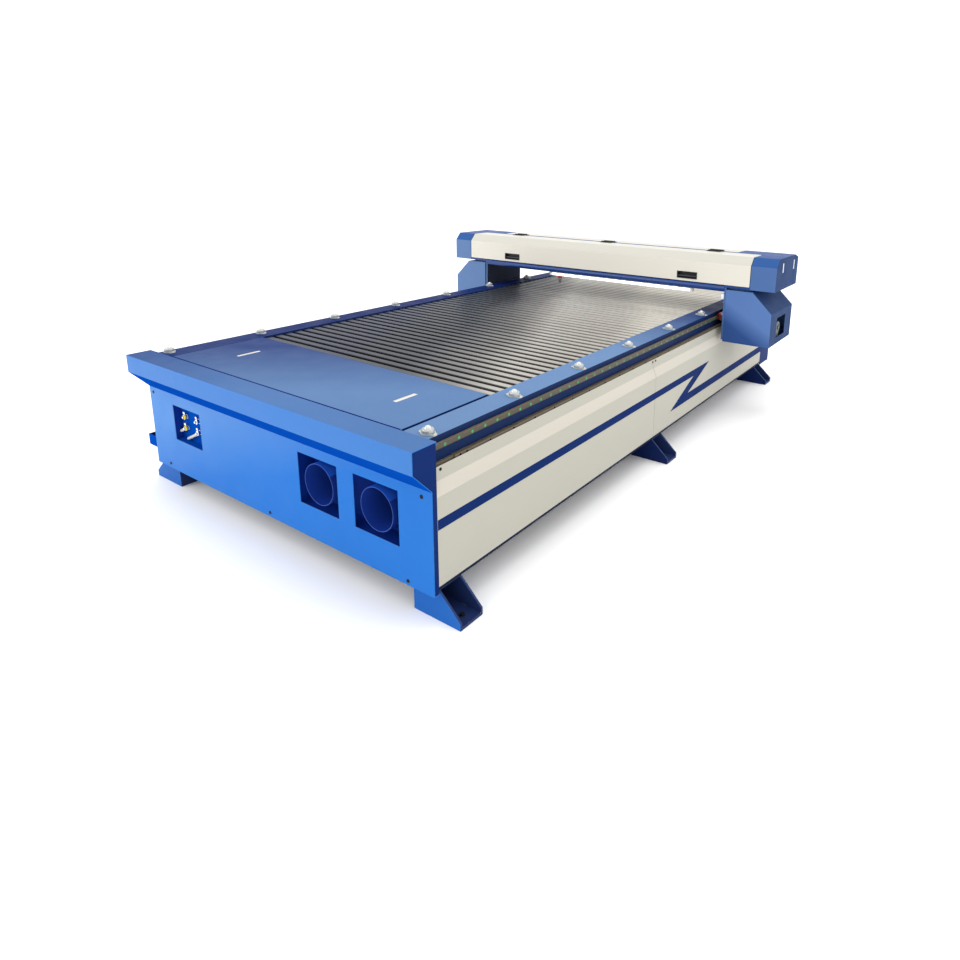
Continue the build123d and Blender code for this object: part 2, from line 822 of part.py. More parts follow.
for side, name in ((-1, "left_pinion"), (1, "right_pinion")):
    with BuildPart() as pinion:
        gear_plane = Plane((side * pinion_inner, drive_y, drive_height), x_dir=(0, 1, 0), z_dir=(1, 0, 0))
        with BuildSketch(gear_plane):
            with BuildLine():
                Polyline(*tooth_points(pinion_teeth, root_radius, outside_radius - pinion_tip_gap), close=True)
            make_face()
        extrude(amount=side * pinion_width)
        with BuildSketch(Plane.YZ.offset(side * (pinion_inner + pinion_width))):
            with Locations((drive_y, drive_height)):
                Circle(shaft_radius)
        extrude(amount=side * (leg_inner + shaft_in_motor - pinion_inner - pinion_width))
    write(pinion, name)

# Gantry beam: a square tube across the machine
gantry_beam_rear = beam_front_gantry + gantry_beam_size
gantry_beam_top = gantry_bottom + gantry_beam_size
with BuildPart() as gantry_beam:
    low = (-cap_inner, beam_front_gantry, gantry_bottom)
    rectangular_tube(low, (cap_inner, gantry_beam_rear, gantry_beam_top), 0, tube_wall)
write(gantry_beam, "gantry_beam")

# End caps: sheet housings whose rear half reaches further inward than the front half
hinge_from_front = 165
hinge_front = front_plane + hinge_from_front
strip_width = 30
strip_front = hinge_front + seam
strip_rear = strip_front + strip_width
rear_cover_front = strip_rear + seam
rear_cover_gap = 6
rear_cover_half = leg_plate_inner - rear_cover_gap
cap_outline = [
    (front_plane, gantry_bottom),
    (front_plane, gantry_top - front_chamfer_drop),
    (front_plane + front_chamfer_run, gantry_top),
    (rear_plane - rear_chamfer_run, gantry_top),
    (rear_plane, gantry_top - rear_chamfer_drop),
    (rear_plane, gantry_bottom),
]
access_front = 75
access_rear = 32
access_bottom = 13
access_top = 28
access_depth = 2
access_seam = 3
cap_sheet = 4
for side, name in ((-1, "left_end_cap"), (1, "right_end_cap")):
    with BuildPart() as end_cap:
        with BuildSketch(Plane.YZ.offset(side * gantry_half_length)):
            with BuildLine():
                Polyline(*cap_outline, close=True)
            make_face()
        extrude(amount=-side * (gantry_half_length - rear_cover_half - seam))
        with BuildSketch(Plane.YZ.offset(side * (gantry_half_length - cap_sheet))):
            with BuildLine():
                Polyline(*cap_outline, close=True)
            make_face()
            offset(amount=-sheet, kind=Kind.INTERSECTION, mode=Mode.REPLACE)
        extrude(amount=-side * gantry_half_length / 2, mode=Mode.SUBTRACT)
        low_x, high_x = span(side, rear_cover_half, cap_inner)
        low = (low_x, front_plane - 1, gantry_bottom - 1)
        block(low, (high_x, strip_front, gantry_top + 1), Mode.SUBTRACT)
        low = (low_x, front_plane - 1, gantry_bottom - 1)
        block(low, (high_x, rear_plane - sheet, gantry_bottom + sheet), Mode.SUBTRACT)
        low_x, high_x = span(side, gantry_half_length - access_depth, gantry_half_length)
        low = (low_x, front_plane + access_front, gantry_bottom + access_bottom)
        block(low, (high_x, rear_plane - access_rear, gantry_top - access_top), Mode.SUBTRACT)
    write(end_cap, name)

# Access panels let into the outer faces of the end caps
with BuildPart() as end_access_panels:
    for side in both_sides():
        low_x, high_x = span(side, gantry_half_length - access_depth, gantry_half_length)
        low = (low_x, front_plane + access_front + access_seam, gantry_bottom + access_bottom + access_seam)
        high = (high_x, rear_plane - access_rear - access_seam, gantry_top - access_top - access_seam)
        block(low, high)
write(end_access_panels, "end_access_panels")

# Top strip: a channel on the beam, between the two hinged covers
with BuildPart() as top_strip:
    strip_half = rear_cover_half
    block((-strip_half, strip_front, gantry_beam_top), (strip_half, strip_rear, gantry_top))
    low = (-strip_half, strip_front + sheet, gantry_beam_top)
    block(low, (strip_half, strip_rear - sheet, gantry_top - sheet), Mode.SUBTRACT)
write(top_strip, "top_strip")

# Front cover: a folded sheet with two openings for its handles
cover_half = cap_inner - access_seam
cover_bottom = 728
handle_from_end = 343
handle_place = cover_half - handle_from_end
handle_width = 110
handle_height = 33
handle_middle = 760
cover_outline = [
    (front_plane, cover_bottom),
    (front_plane, gantry_top - front_chamfer_drop),
    (front_plane + front_chamfer_run, gantry_top),
    (hinge_front, gantry_top),
]
with BuildPart() as front_cover:
    with BuildSketch(Plane.YZ):
        strip_section(cover_outline, sheet, Side.RIGHT)
    extrude(amount=cover_half, both=True)
    for side in both_sides():
        low = (side * handle_place - handle_width / 2, front_plane, handle_middle - handle_height / 2)
        high = (side * handle_place + handle_width / 2, front_plane + sheet, handle_middle + handle_height / 2)
        block(low, high, Mode.SUBTRACT)
write(front_cover, "front_cover")

# Recessed handles: cups with a rim that lies on the front cover
handle_depth = 22
handle_wall = 2
handle_rim = 3
with BuildPart() as cover_handles:
    for side in both_sides():
        x = side * handle_place
        inner = handle_width / 2 - seat_gap
        tall = handle_height / 2 - seat_gap
        low = (x - inner - handle_rim, front_plane - handle_wall, handle_middle - tall - handle_rim)
        block(low, (x + inner + handle_rim, front_plane, handle_middle + tall + handle_rim))
        low = (x - inner, front_plane, handle_middle - tall)
        block(low, (x + inner, front_plane + handle_depth, handle_middle + tall))
        low = (x - inner + handle_wall, front_plane - handle_wall, handle_middle - tall + handle_wall)
        high = (x + inner - handle_wall, front_plane + handle_depth - handle_wall, handle_middle + tall - handle_wall)
        block(low, high, Mode.SUBTRACT)
write(cover_handles, "cover_handles")

# Rear cover: a folded sheet that closes the back of the gantry
rear_cover_bottom = 730
rear_cover_outline = [
    (rear_cover_front, gantry_top),
    (rear_plane - rear_chamfer_run, gantry_top),
    (rear_plane, gantry_top - rear_chamfer_drop),
    (rear_plane, rear_cover_bottom),
]
with BuildPart() as rear_cover:
    with BuildSketch(Plane.YZ):
        strip_section(rear_cover_outline, sheet, Side.RIGHT)
    extrude(amount=rear_cover_half - seam, both=True)
write(rear_cover, "rear_cover")

# Hinges: a base on the strip with two pins, and a leaf on each cover
left_hinge_inset = 140
right_hinge_inset = 120
hinge_places = [left_hinge_inset - rear_cover_half, 0, rear_cover_half - right_hinge_inset]
hinge_length = 75
leaf_thickness = 2.5
leaf_width = 24
knuckle_radius = 4
pin_radius = 1.6
pin_gap = 0.06
knuckle_half = 12
hinge_z = gantry_top + knuckle_radius
front_hinge_y = hinge_front + seam / 2
rear_hinge_y = rear_cover_front - seam / 2


def rod_x(x, y, z, radius, length, mode=Mode.ADD):
    """Add a round bar along X, centred on a point."""
    with Locations(Location((x, y, z), (0, 90, 0))):
        Cylinder(radius, length, mode=mode)


with BuildPart() as hinge_bases:
    for x in hinge_places:
        low = (x - hinge_length / 2, front_hinge_y + 2, gantry_top)
        block(low, (x + hinge_length / 2, rear_hinge_y - 2, gantry_top + leaf_thickness))
        for y in (front_hinge_y, rear_hinge_y):
            rod_x(x, y, hinge_z, knuckle_radius, hinge_length)
            rod_x(x, y, hinge_z, knuckle_radius + 1, 2 * knuckle_half + 1, Mode.SUBTRACT)
            rod_x(x, y, hinge_z, pin_radius, hinge_length)
write(hinge_bases, "hinge_bases")

for name, y, reach in (
    ("front_hinge_leaves", front_hinge_y, -leaf_width),
    ("rear_hinge_leaves", rear_hinge_y, leaf_width),
):
    with BuildPart() as hinge_leaves:
        for x in hinge_places:
            low_y, high_y = sorted((y + math.copysign(knuckle_radius + 0.5, reach), y + reach))
            low = (x - hinge_length / 2, low_y, gantry_top)
            block(low, (x + hinge_length / 2, high_y, gantry_top + leaf_thickness))
            low_y, high_y = sorted((y + math.copysign(knuckle_radius - 2, reach), y + reach / 2))
            block((x - knuckle_half, low_y, gantry_top), (x + knuckle_half, high_y, gantry_top + leaf_thickness))
            rod_x(x, y, hinge_z, knuckle_radius, 2 * knuckle_half)
            rod_x(x, y, hinge_z, pin_radius + pin_gap, 2 * knuckle_half, Mode.SUBTRACT)
    write(hinge_leaves, name)

# Lower lip: a rounded bar along the bottom edge of the front cover
lip_bottom = 690
lip_depth = 30
lip_radius = 12
lip_top = cover_bottom - seam
with BuildPart() as lower_lip:
    with BuildSketch(Plane.YZ):
        with BuildLine():
            Polyline(
                (front_plane + lip_radius, lip_bottom),
                (front_plane + lip_depth, lip_bottom),
                (front_plane + lip_depth, lip_top),
                (front_plane + lip_radius, lip_top),
            )
            ThreePointArc(
                (front_plane + lip_radius, lip_top),
                (front_plane, (lip_top + lip_bottom) / 2),
                (front_plane + lip_radius, lip_bottom),
            )
        make_face()
    extrude(amount=leg_plate_inner, both=True)
    for side in both_sides():
        low_x, high_x = span(side, leg_plate_inner, cap_inner)
        block((low_x, front_plane + sheet, gantry_bottom), (high_x, front_plane + lip_depth, lip_top))
write(lower_lip, "lower_lip")

# Lamp: a glass tube below a batten, behind the lip
lamp_left = -310
lamp_right = 603
lamp_radius = 8
lamp_height = 674
batten_top = 700
batten_depth = 28
lamp_y = front_plane + lip_depth + batten_depth / 2
socket_length = 16
with BuildPart() as lamp_batten:
    low = (lamp_left - socket_length, front_plane + lip_depth, lamp_height + lamp_radius)
    block(low, (lamp_right + socket_length, front_plane + lip_depth + batten_depth, batten_top))
    for x in (lamp_left - socket_length, lamp_right):
        low = (x, lamp_y - lamp_radius - 2, lamp_height - lamp_radius)
        block(low, (x + socket_length, lamp_y + lamp_radius + 2, lamp_height + lamp_radius))
write(lamp_batten, "lamp_batten")

with BuildPart() as lamp_tube:
    rod_x((lamp_left + lamp_right) / 2, lamp_y, lamp_height, lamp_radius - seat_gap, lamp_right - lamp_left)
write(lamp_tube, "lamp_tube")

# Head rail on the front face of the gantry beam
head_rail_bottom = 790
head_rail_half = rear_cover_half
with BuildPart() as head_rail:
    low = (-head_rail_half, beam_front_gantry - rail_height, head_rail_bottom)
    block(low, (head_rail_half, beam_front_gantry, head_rail_bottom + rail_width))
write(head_rail, "head_rail")

# Head carriage: a bearing block and a plate that hangs below the gantry
head_x = -286
head_plate_half = 55
head_plate_thickness = 10
head_block_front = beam_front_gantry - block_outer
head_plate_front = head_block_front - head_plate_thickness
head_plate_bottom = 668
head_plate_top = 825
head_block_bottom = head_rail_bottom + rail_width / 2 - block_height / 2
clamp_half = 20
clamp_below_belt = 8
belt_clamp_height = 16
with BuildPart() as head_carriage:
    low = (head_x - head_plate_half, head_plate_front, head_plate_bottom)
    block(low, (head_x + head_plate_half, head_block_front, head_plate_top))
    low = (head_x - block_length / 2, head_block_front, head_block_bottom)
    block(low, (head_x + block_length / 2, beam_front_gantry - block_gap, head_block_bottom + block_height))
    low = (head_x - block_length / 2, beam_front_gantry - rail_height - running_gap, head_rail_bottom - running_gap)
    high = (head_x + block_length / 2, beam_front_gantry, head_rail_bottom + rail_width + running_gap)
    block(low, high, Mode.SUBTRACT)
    low = (head_x - clamp_half, head_block_front, belt_height - clamp_below_belt - belt_clamp_height)
    block(low, (head_x + clamp_half, belt_front - seat_gap, belt_height - clamp_below_belt))
write(head_carriage, "head_carriage")

# Lens tube holder on the head plate, and the focusing nozzle that slides in it
holder_radius = 20
holder_length = 70
holder_top = 790
nozzle_tube_radius = 14
nozzle_gap = 0.05
nozzle_tip = 612
nozzle_shoulder = 645
nozzle_tip_radius = 4
nozzle_top_drop = 6
lens_y = head_plate_front - holder_radius
with BuildPart() as lens_holder:
    with BuildSketch(Plane.XY.offset(holder_top - holder_length)):
        with Locations((head_x, lens_y)):
            Circle(holder_radius)
        with Locations((head_x, lens_y + holder_radius / 2)):
            Rectangle(2 * holder_radius, holder_radius)
        with Locations((head_x, lens_y)):
            Circle(nozzle_tube_radius + nozzle_gap, mode=Mode.SUBTRACT)
    extrude(amount=holder_length)
write(lens_holder, "lens_holder")

with BuildPart() as focus_nozzle:
    with BuildSketch(Plane.XZ.offset(-lens_y)):
        with BuildLine():
            Polyline(
                (head_x, nozzle_tip),
                (head_x + nozzle_tip_radius, nozzle_tip),
                (head_x + nozzle_tube_radius, nozzle_shoulder),
                (head_x + nozzle_tube_radius, holder_top - nozzle_top_drop),
                (head_x, holder_top - nozzle_top_drop),
                close=True,
            )
        make_face()
    revolve(axis=Axis((head_x, lens_y, 0), (0, 0, 1)))
write(focus_nozzle, "focus_nozzle")

# Drive belt of the head, and its two pulleys
pulley_radius = 15
belt_thickness = 1.5
belt_inner = pulley_radius + seat_gap
belt_outer = belt_inner + belt_thickness
with BuildPart() as drive_belt:
    with BuildSketch(Plane.XZ.offset(-belt_front)):
        with Locations((0, belt_height)):
            SlotOverall(2 * (belt_end + belt_outer), 2 * belt_outer)
            SlotOverall(2 * (belt_end + belt_inner), 2 * belt_inner, mode=Mode.SUBTRACT)
    extrude(amount=-belt_width)
write(drive_belt, "drive_belt")

pulley_shaft_front = head_motor_rear - shaft_in_motor
for x, name in ((-belt_end, "belt_idler"), (belt_end, "belt_pulley")):
    with BuildPart() as pulley:
        with BuildSketch(Plane.XZ.offset(-belt_front)):
            with Locations((x, belt_height)):
                Circle(pulley_radius)
        extrude(amount=-belt_width)
        shaft_start = pulley_shaft_front if x > 0 else belt_front
        shaft_end = belt_front if x > 0 else beam_front_gantry - seat_gap
        with BuildSketch(Plane.XZ.offset(-shaft_start)):
            with Locations((x, belt_height)):
                Circle(shaft_radius)
        extrude(amount=-(shaft_end - shaft_start))
    write(pulley, name)

# Laser tube behind the beam, in two clamps
laser_radius = 40
laser_end_room = 46
laser_half = leg_plate_inner - laser_end_room
laser_neck = 15
laser_neck_length = 40
laser_from_beam = 60
laser_y = gantry_beam_rear + laser_from_beam
laser_height = 790
tube_clamp_width = 20
tube_clamp_place = 480
tube_clamp_half = 50
tube_clamp_trim = 5
with BuildPart() as laser_tube:
    rod_x(0, laser_y, laser_height, laser_radius, 2 * laser_half)
    rod_x(0, laser_y, laser_height, laser_neck, 2 * (laser_half + laser_neck_length))
write(laser_tube, "laser_tube")

with BuildPart() as tube_clamps:
    for side in both_sides():
        x = side * tube_clamp_place
        low = (x - tube_clamp_width / 2, gantry_beam_rear, laser_height - tube_clamp_half)
        block(low, (x + tube_clamp_width / 2, laser_y + tube_clamp_half, laser_height + tube_clamp_half - tube_clamp_trim))
    bore_length = 2 * (tube_clamp_place + tube_clamp_width)
    rod_x(0, laser_y, laser_height, laser_radius + seat_gap, bore_length, Mode.SUBTRACT)
write(tube_clamps, "tube_clamps")

# Limit switch on the inner face of the right leg plate
switch_size = 16
switch_height = 28
switch_bottom = 650
with BuildPart() as limit_switch:
    low = (leg_plate_inner - switch_size, plate_front_y, switch_bottom)
    block(low, (leg_plate_inner, plate_front_y + switch_height, switch_bottom + switch_height))
write(limit_switch, "limit_switch")
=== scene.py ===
import bpy
import json
import math
from mathutils import Matrix, Vector


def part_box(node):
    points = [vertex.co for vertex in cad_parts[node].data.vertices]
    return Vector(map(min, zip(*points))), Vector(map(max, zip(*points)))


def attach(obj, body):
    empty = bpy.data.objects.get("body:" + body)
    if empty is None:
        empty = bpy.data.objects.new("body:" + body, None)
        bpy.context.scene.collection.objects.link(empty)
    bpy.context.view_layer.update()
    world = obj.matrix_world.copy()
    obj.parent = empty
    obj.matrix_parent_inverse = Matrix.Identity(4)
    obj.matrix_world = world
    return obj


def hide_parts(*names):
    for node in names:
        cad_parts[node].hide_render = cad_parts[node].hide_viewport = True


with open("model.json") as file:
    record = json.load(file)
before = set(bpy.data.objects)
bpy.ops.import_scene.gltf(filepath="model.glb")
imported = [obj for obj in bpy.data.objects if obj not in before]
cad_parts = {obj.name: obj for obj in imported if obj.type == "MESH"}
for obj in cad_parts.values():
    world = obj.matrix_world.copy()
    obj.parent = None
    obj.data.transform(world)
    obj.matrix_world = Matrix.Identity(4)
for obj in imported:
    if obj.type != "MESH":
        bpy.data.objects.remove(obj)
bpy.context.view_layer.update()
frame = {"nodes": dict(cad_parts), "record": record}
nodes = frame["nodes"]
collection = bpy.context.scene.collection
bpy.ops.object.select_all(action="DESELECT")

# Camera, at the photograph's viewing angle: a wide lens near the front right corner, a little above the
# gantry. The picture is cut from the right of the lens's own frame, so the shift is part of the view.
lens_mm = 25.24
sensor_mm = 36
camera_yaw = 0.606
camera_pitch = 0.2359
camera_roll = 0.0135
camera_place = Vector((2.0139, -2.7862, 1.3095))
camera_data = bpy.data.cameras.new("camera")
camera_data.sensor_width = sensor_mm
camera_data.lens = lens_mm
camera_data.shift_x = -0.0644
camera_data.shift_y = -0.1557
camera = bpy.data.objects.new("camera", camera_data)
turn = Matrix.Rotation(camera_yaw, 4, "Z") @ Matrix.Rotation(math.pi / 2 - camera_pitch, 4, "X")
camera.matrix_world = Matrix.Translation(camera_place) @ turn @ Matrix.Rotation(camera_roll, 4, "Z")
collection.objects.link(camera)
bpy.context.scene.camera = camera


# Floor and studio: a plain pale sheet under the machine in a white room, and three soft lights: one in
# front on the left, one on the right and one overhead.
def feed(tree, node, **inputs):
    """Give inputs of a shader node a value, or a link from a socket or from another node's result. Each
    goes by its name, with an underscore for a space, or by n and its number."""
    for key, value in inputs.items():
        socket = node.inputs[int(key[1:]) if key[1:].isdigit() else key.replace("_", " ")]
        if isinstance(value, bpy.types.Node):
            value = next(output for output in value.outputs if output.enabled)
        if isinstance(value, bpy.types.NodeSocket):
            tree.links.new(value, socket)
        else:
            socket.default_value = value


def new_material(name, **values):
    """A new material, with some inputs of its shader set."""
    material = bpy.data.materials.new(name)
    material.use_nodes = True
    feed(material.node_tree, material.node_tree.nodes["Principled BSDF"], **values)
    return material


def soft_light(name, place, aim, width, height, power):
    """A large area light that points at a place."""
    lamp = bpy.data.lights.new(name, "AREA")
    lamp.shape = "RECTANGLE"
    lamp.size = width
    lamp.size_y = height
    lamp.energy = power
    holder = bpy.data.objects.new(name, lamp)
    away = Vector(place) - Vector(aim)
    holder.matrix_world = Matrix.Translation(place) @ away.to_track_quat("Z", "Y").to_matrix().to_4x4()
    collection.objects.link(holder)


bpy.context.scene.view_settings.view_transform = "Standard"
floor_size = 60
bpy.ops.mesh.primitive_plane_add(size=floor_size)
floor = bpy.context.object
floor.name = "studio_floor"
floor_paint = new_material(
    "studio_floor", Base_Color=(0.98, 0.98, 0.98, 1), Roughness=0.9, Specular_IOR_Level=0.1,
)
floor.data.materials.append(floor_paint)
room_strength = 1.4
world = bpy.data.worlds.new("studio_room")
world.use_nodes = True
bpy.context.scene.world = world
feed(world.node_tree, world.node_tree.nodes["Background"], Color=(1, 1, 1, 1), Strength=room_strength)
soft_light("front_light", (-3.4, -6.0, 2.6), (-0.4, -1.4, 0.4), 3.5, 2.5, 90)
soft_light("side_light", (6.5, 1.5, 3.0), (0.7, 0.6, 0.3), 4.0, 3.0, 40)
soft_light("top_light", (0.3, 0.6, 6.0), (0.3, 0.6, 0.5), 4.0, 5.0, 90)

# Welded frame: square steel tubes, sprayed blue after welding. The two side beams carry the table and the
# guides; the lower tubes, posts and cross beams hold them. The same enamel is on all the blue sheet, but it
# is given lighter and darker copies face by face, as painted light and painted shade.
record = frame["record"]
body_of = {name: body for body, names in record["behaviour"]["bodies"].items() for name in names}
COLOUR, NUMBER, VECTOR = "NodeSocketColor", "NodeSocketFloat", "NodeSocketVector"


def linear(red, green, blue):
    """A colour given as eight-bit screen values, as the linear colour that shaders use."""
    shares = [value / 255 for value in (red, green, blue)]
    return tuple(s / 12.92 if s <= 0.04045 else ((s + 0.055) / 1.055) ** 2.4 for s in shares) + (1.0,)


def add(tree, kind, operation=None, **inputs):
    """A new shader node with its inputs fed. A mix is one of two colours."""
    node = tree.nodes.new("ShaderNode" + kind)
    if operation:
        node.operation = operation
    if kind == "Mix":
        node.data_type = "RGBA"
    feed(tree, node, **inputs)
    return node


def new_group(name, **sockets):
    """An empty node group with named inputs and the three outputs that a shader takes from it."""
    group = bpy.data.node_groups.new(name, "ShaderNodeTree")
    for socket, kind in sockets.items():
        group.interface.new_socket(socket.replace("_", " "), in_out="INPUT", socket_type=kind)
    for socket, kind in (("Color", COLOUR), ("Roughness", NUMBER), ("Normal", VECTOR)):
        group.interface.new_socket(socket, in_out="OUTPUT", socket_type=kind)
    return group, group.nodes.new("NodeGroupInput").outputs, group.nodes.new("NodeGroupOutput")


# Sprayed enamel: a fine orange peel, slow mottling, smudges in its gloss and rubbed, chipped edges. The
# paint may pass to a far colour along a direction: where a material uses that, it is painted light, which
# stands for light falling off across the sheet.
mottle_scale, smudge_scale, chip_scale, peel_scale = 2.2, 9.0, 60.0, 420.0
wear_radius = 0.0025
tree, given, result = new_group(
    "sprayed_enamel", Place=VECTOR, Paint=COLOUR, Worn=COLOUR, Roughness=NUMBER, Mottle=NUMBER, Wear=NUMBER,
    Far_Paint=COLOUR, Fade=VECTOR, Fade_Start=NUMBER,
)
enamel_group = tree
mottle = add(tree, "TexNoise", Vector=given["Place"], Scale=mottle_scale, Detail=4.0)
least = add(tree, "Math", "SUBTRACT", n0=1.0, n1=given["Mottle"])
most = add(tree, "Math", "ADD", n0=1.0, n1=given["Mottle"])
swing = add(tree, "MapRange", Value=mottle, From_Min=0.3, From_Max=0.7, To_Min=least, To_Max=most)
way = add(tree, "VectorMath", "DOT_PRODUCT", n0=given["Place"], n1=given["Fade"])
faded = add(tree, "Math", "ADD", n0=way, n1=given["Fade Start"])
faded.use_clamp = True
two_paints = add(tree, "Mix", n0=faded, n6=given["Paint"], n7=given["Far Paint"])
tone = add(tree, "HueSaturation", Color=two_paints, Value=swing)
round_edge = add(tree, "Bevel", Radius=wear_radius)
round_edge.samples = 4
flat_face = add(tree, "NewGeometry")
likeness = add(tree, "VectorMath", "DOT_PRODUCT", n0=round_edge, n1=flat_face.outputs["Normal"])
edge = add(tree, "MapRange", Value=likeness, From_Min=0.995, From_Max=0.9)
chips = add(tree, "TexNoise", Vector=given["Place"], Scale=chip_scale, Detail=6.0, Roughness=0.7)
chip_mask = add(tree, "MapRange", Value=chips, From_Min=0.52, From_Max=0.66)
worn = add(tree, "Math", "MULTIPLY", n0=edge, n1=chip_mask)
amount = add(tree, "Math", "MULTIPLY", n0=worn, n1=given["Wear"])
rubbed = add(tree, "Mix", n0=amount, n6=tone, n7=given["Worn"])
smudge = add(tree, "TexNoise", Vector=given["Place"], Scale=smudge_scale, Detail=5.0)
smudge_range = add(tree, "MapRange", Value=smudge, From_Min=0.3, From_Max=0.7, To_Min=-0.06, To_Max=0.08)
rough = add(tree, "Math", "ADD", n0=given["Roughness"], n1=smudge_range)
peel = add(tree, "TexNoise", Vector=given["Place"], Scale=peel_scale, Detail=2.0)
peel_bump = add(tree, "Bump", Strength=0.12, Distance=0.0004, Height=peel)
feed(tree, result, Color=rubbed, Roughness=rough, Normal=peel_bump)


def finish_material(name, group, stretch, metallic=0.0, specular=0.4, **values):
    """A material whose shader takes its colour, roughness and normal from one of the groups."""
    material = new_material(name, Metallic=metallic, Specular_IOR_Level=specular)
    tree = material.node_tree
    place = add(tree, "TexCoord").outputs["Object"]
    effect = add(tree, "Group")
    effect.node_tree = group
    effect.name = "effect"
    feed(tree, effect, Place=add(tree, "Mapping", Vector=place, Scale=stretch), **values)
    feed(
        tree, tree.nodes["Principled BSDF"], Base_Color=effect.outputs["Color"],
        Roughness=effect.outputs["Roughness"], Normal=effect.outputs["Normal"],
    )
    return material


def enamel(
    name, paint, roughness=0.4, specular=0.1, mottle=0.04, wear=0.3, far=None, fade=(0, 0, 0), start=0.0
):
    """Sprayed enamel of one colour, or one that passes to a far colour along the fade's direction."""
    pale = tuple(0.5 * c + 0.16 for c in paint[:3]) + (1.0,)
    return finish_material(
        name, enamel_group, (1, 1, 1), specular=specular, Paint=paint, Worn=pale, Roughness=roughness,
        Mottle=mottle, Wear=wear, Far_Paint=far or paint, Fade=fade, Fade_Start=start,
    )


def pick(piece):
    """Make one piece the only selected and active object."""
    bpy.ops.object.select_all(action="DESELECT")
    piece.select_set(True)
    bpy.context.view_layer.objects.active = piece


def apply_all(piece):
    """Apply the piece's modifiers in order."""
    pick(piece)
    for modifier in list(piece.modifiers):
        bpy.ops.object.modifier_apply(modifier=modifier.name)


def roll_edges(piece, width, segments=2, crease=25.0):
    """Roll a piece's sharp edges over, and smooth what meets at a low angle."""
    roll = piece.modifiers.new("rolled_edges", "BEVEL")
    roll.width = width
    roll.segments = segments
    roll.limit_method = "ANGLE"
    roll.angle_limit = math.radians(crease)
    apply_all(piece)
    bpy.ops.object.shade_smooth_by_angle(angle=math.radians(35))


def seat(piece, material, body):
    """Give a new piece its material and the body it rides on."""
    piece.data.materials.clear()
    piece.data.materials.append(material)
    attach(piece, body)


def shade_faces(piece, material, wanted):
    """Give some faces of a piece a second finish."""
    piece.data.materials.append(material)
    number = len(piece.data.materials) - 1
    for face in piece.data.polygons:
        if wanted(face.center, face.normal):
            face.material_index = number


def dress(node, material, edge_width=0.0012, segments=2, crease=25.0):
    """A copy of a piece of the frame with its sharp edges rolled over, which stands for that piece."""
    piece = bpy.data.objects.new(node + "_finished", nodes[node].data.copy())
    collection.objects.link(piece)
    pick(piece)
    bpy.ops.object.mode_set(mode="EDIT")
    bpy.ops.mesh.select_all(action="SELECT")
    bpy.ops.mesh.remove_doubles(threshold=0.00002)
    bpy.ops.mesh.dissolve_limited(angle_limit=math.radians(0.5))
    bpy.ops.object.mode_set(mode="OBJECT")
    roll_edges(piece, edge_width, segments, crease)
    even = piece.modifiers.new("even_normals", "WEIGHTED_NORMAL")
    even.keep_sharp = True
    apply_all(piece)
    seat(piece, material, body_of[node])
    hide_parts(node)
    return piece


def cover_with(node, material):
    """Give a piece of the frame its material where its form is already right."""
    slots = nodes[node].data.materials
    slots.clear()
    slots.append(material)


def upwards(centre, normal):
    """Whether a face looks up."""
    return normal.z > 0.9


# Painted light: the beams' tops are a lighter blue than their sides, lightest at the front and darker towards
# the rear.
lit_beam_top_blue = enamel(
    "beam_top_enamel", linear(92, 120, 158), roughness=0.4, specular=0.01,
    far=linear(22, 48, 100), fade=(0, 1.1, 0), start=0.33,
)
lit_left_top_blue = enamel(
    "left_beam_top_enamel", linear(14, 32, 84), specular=0.01,
    far=linear(34, 58, 112), fade=(0, -0.8, 0), start=-0.7,
)
beam_side_blue = enamel("beam_side_enamel", linear(19, 38, 78), roughness=0.5, specular=0.05)
navy_blue = enamel("navy_blue_enamel", linear(8, 36, 93), roughness=0.5, specular=0.04)
for name, top_blue in (("left_side_beam", lit_left_top_blue), ("right_side_beam", lit_beam_top_blue)):
    beam = dress(name, beam_side_blue, edge_width=0.0015)
    shade_faces(beam, top_blue, upwards)
for name in ("frame_posts", "bed_cross_beams", "slat_supports", "slat_ledges", "panel_brackets"):
    cover_with(name, navy_blue)
# Painted shade: the lower tubes are a dark grey-navy, for the shade line under the side panels.
lower_frame_shade = enamel("lower_frame_shade_enamel", linear(22, 30, 52), specular=0.02)
cover_with("lower_frame_tubes", lower_frame_shade)

# Front end box: one sheet folded to an overhanging hood, sprayed azure, with navy cheeks welded in at both
# ends. The rear end box is folded from the same sheet, and is plainer. Light and shade are painted into the
# blue: the panel fades darker to the right and down, the hood's front is a darker copy, the tops are a
# grey-blue painted reflection that pales to the right, and the fold under the hood is a deep painted shade.
azure = enamel("azure_enamel", linear(58, 112, 180), roughness=0.42, mottle=0.02)
panel_azure_falloff = enamel(
    "panel_azure_enamel", linear(71, 125, 191), roughness=0.42, mottle=0.02,
    far=linear(28, 104, 185), fade=(1.1, 0, -3.6), start=1.9,
)
hood_top_lit_blue = enamel(
    "hood_top_lit_enamel", linear(44, 72, 123), specular=0.01,
    far=linear(70, 103, 151), fade=(1.3, 0, 0), start=1.0,
)
fold_shade_blue = enamel("fold_enamel", linear(4, 68, 162), roughness=0.5, specular=0.0, mottle=0.02)
rear_blue = enamel("rear_enamel", linear(48, 88, 160), roughness=0.42)
hood_under = 0.50
# Painted light and shade: the panel's falloff, a darker copy on the hood's front, the grey-blue painted
# reflection on the tops and a deep blue on the fold that looks down.
front_panel = dress("front_end_panel", panel_azure_falloff, edge_width=0.0012)
shade_faces(front_panel, azure, lambda centre, normal: normal.y < -0.5 and centre.z > hood_under)
shade_faces(front_panel, hood_top_lit_blue, upwards)
shade_faces(front_panel, fold_shade_blue, lambda centre, normal: normal.z < -0.3 and normal.y < -0.3)
rear_panel = dress("rear_end_panel", rear_blue, edge_width=0.0012)
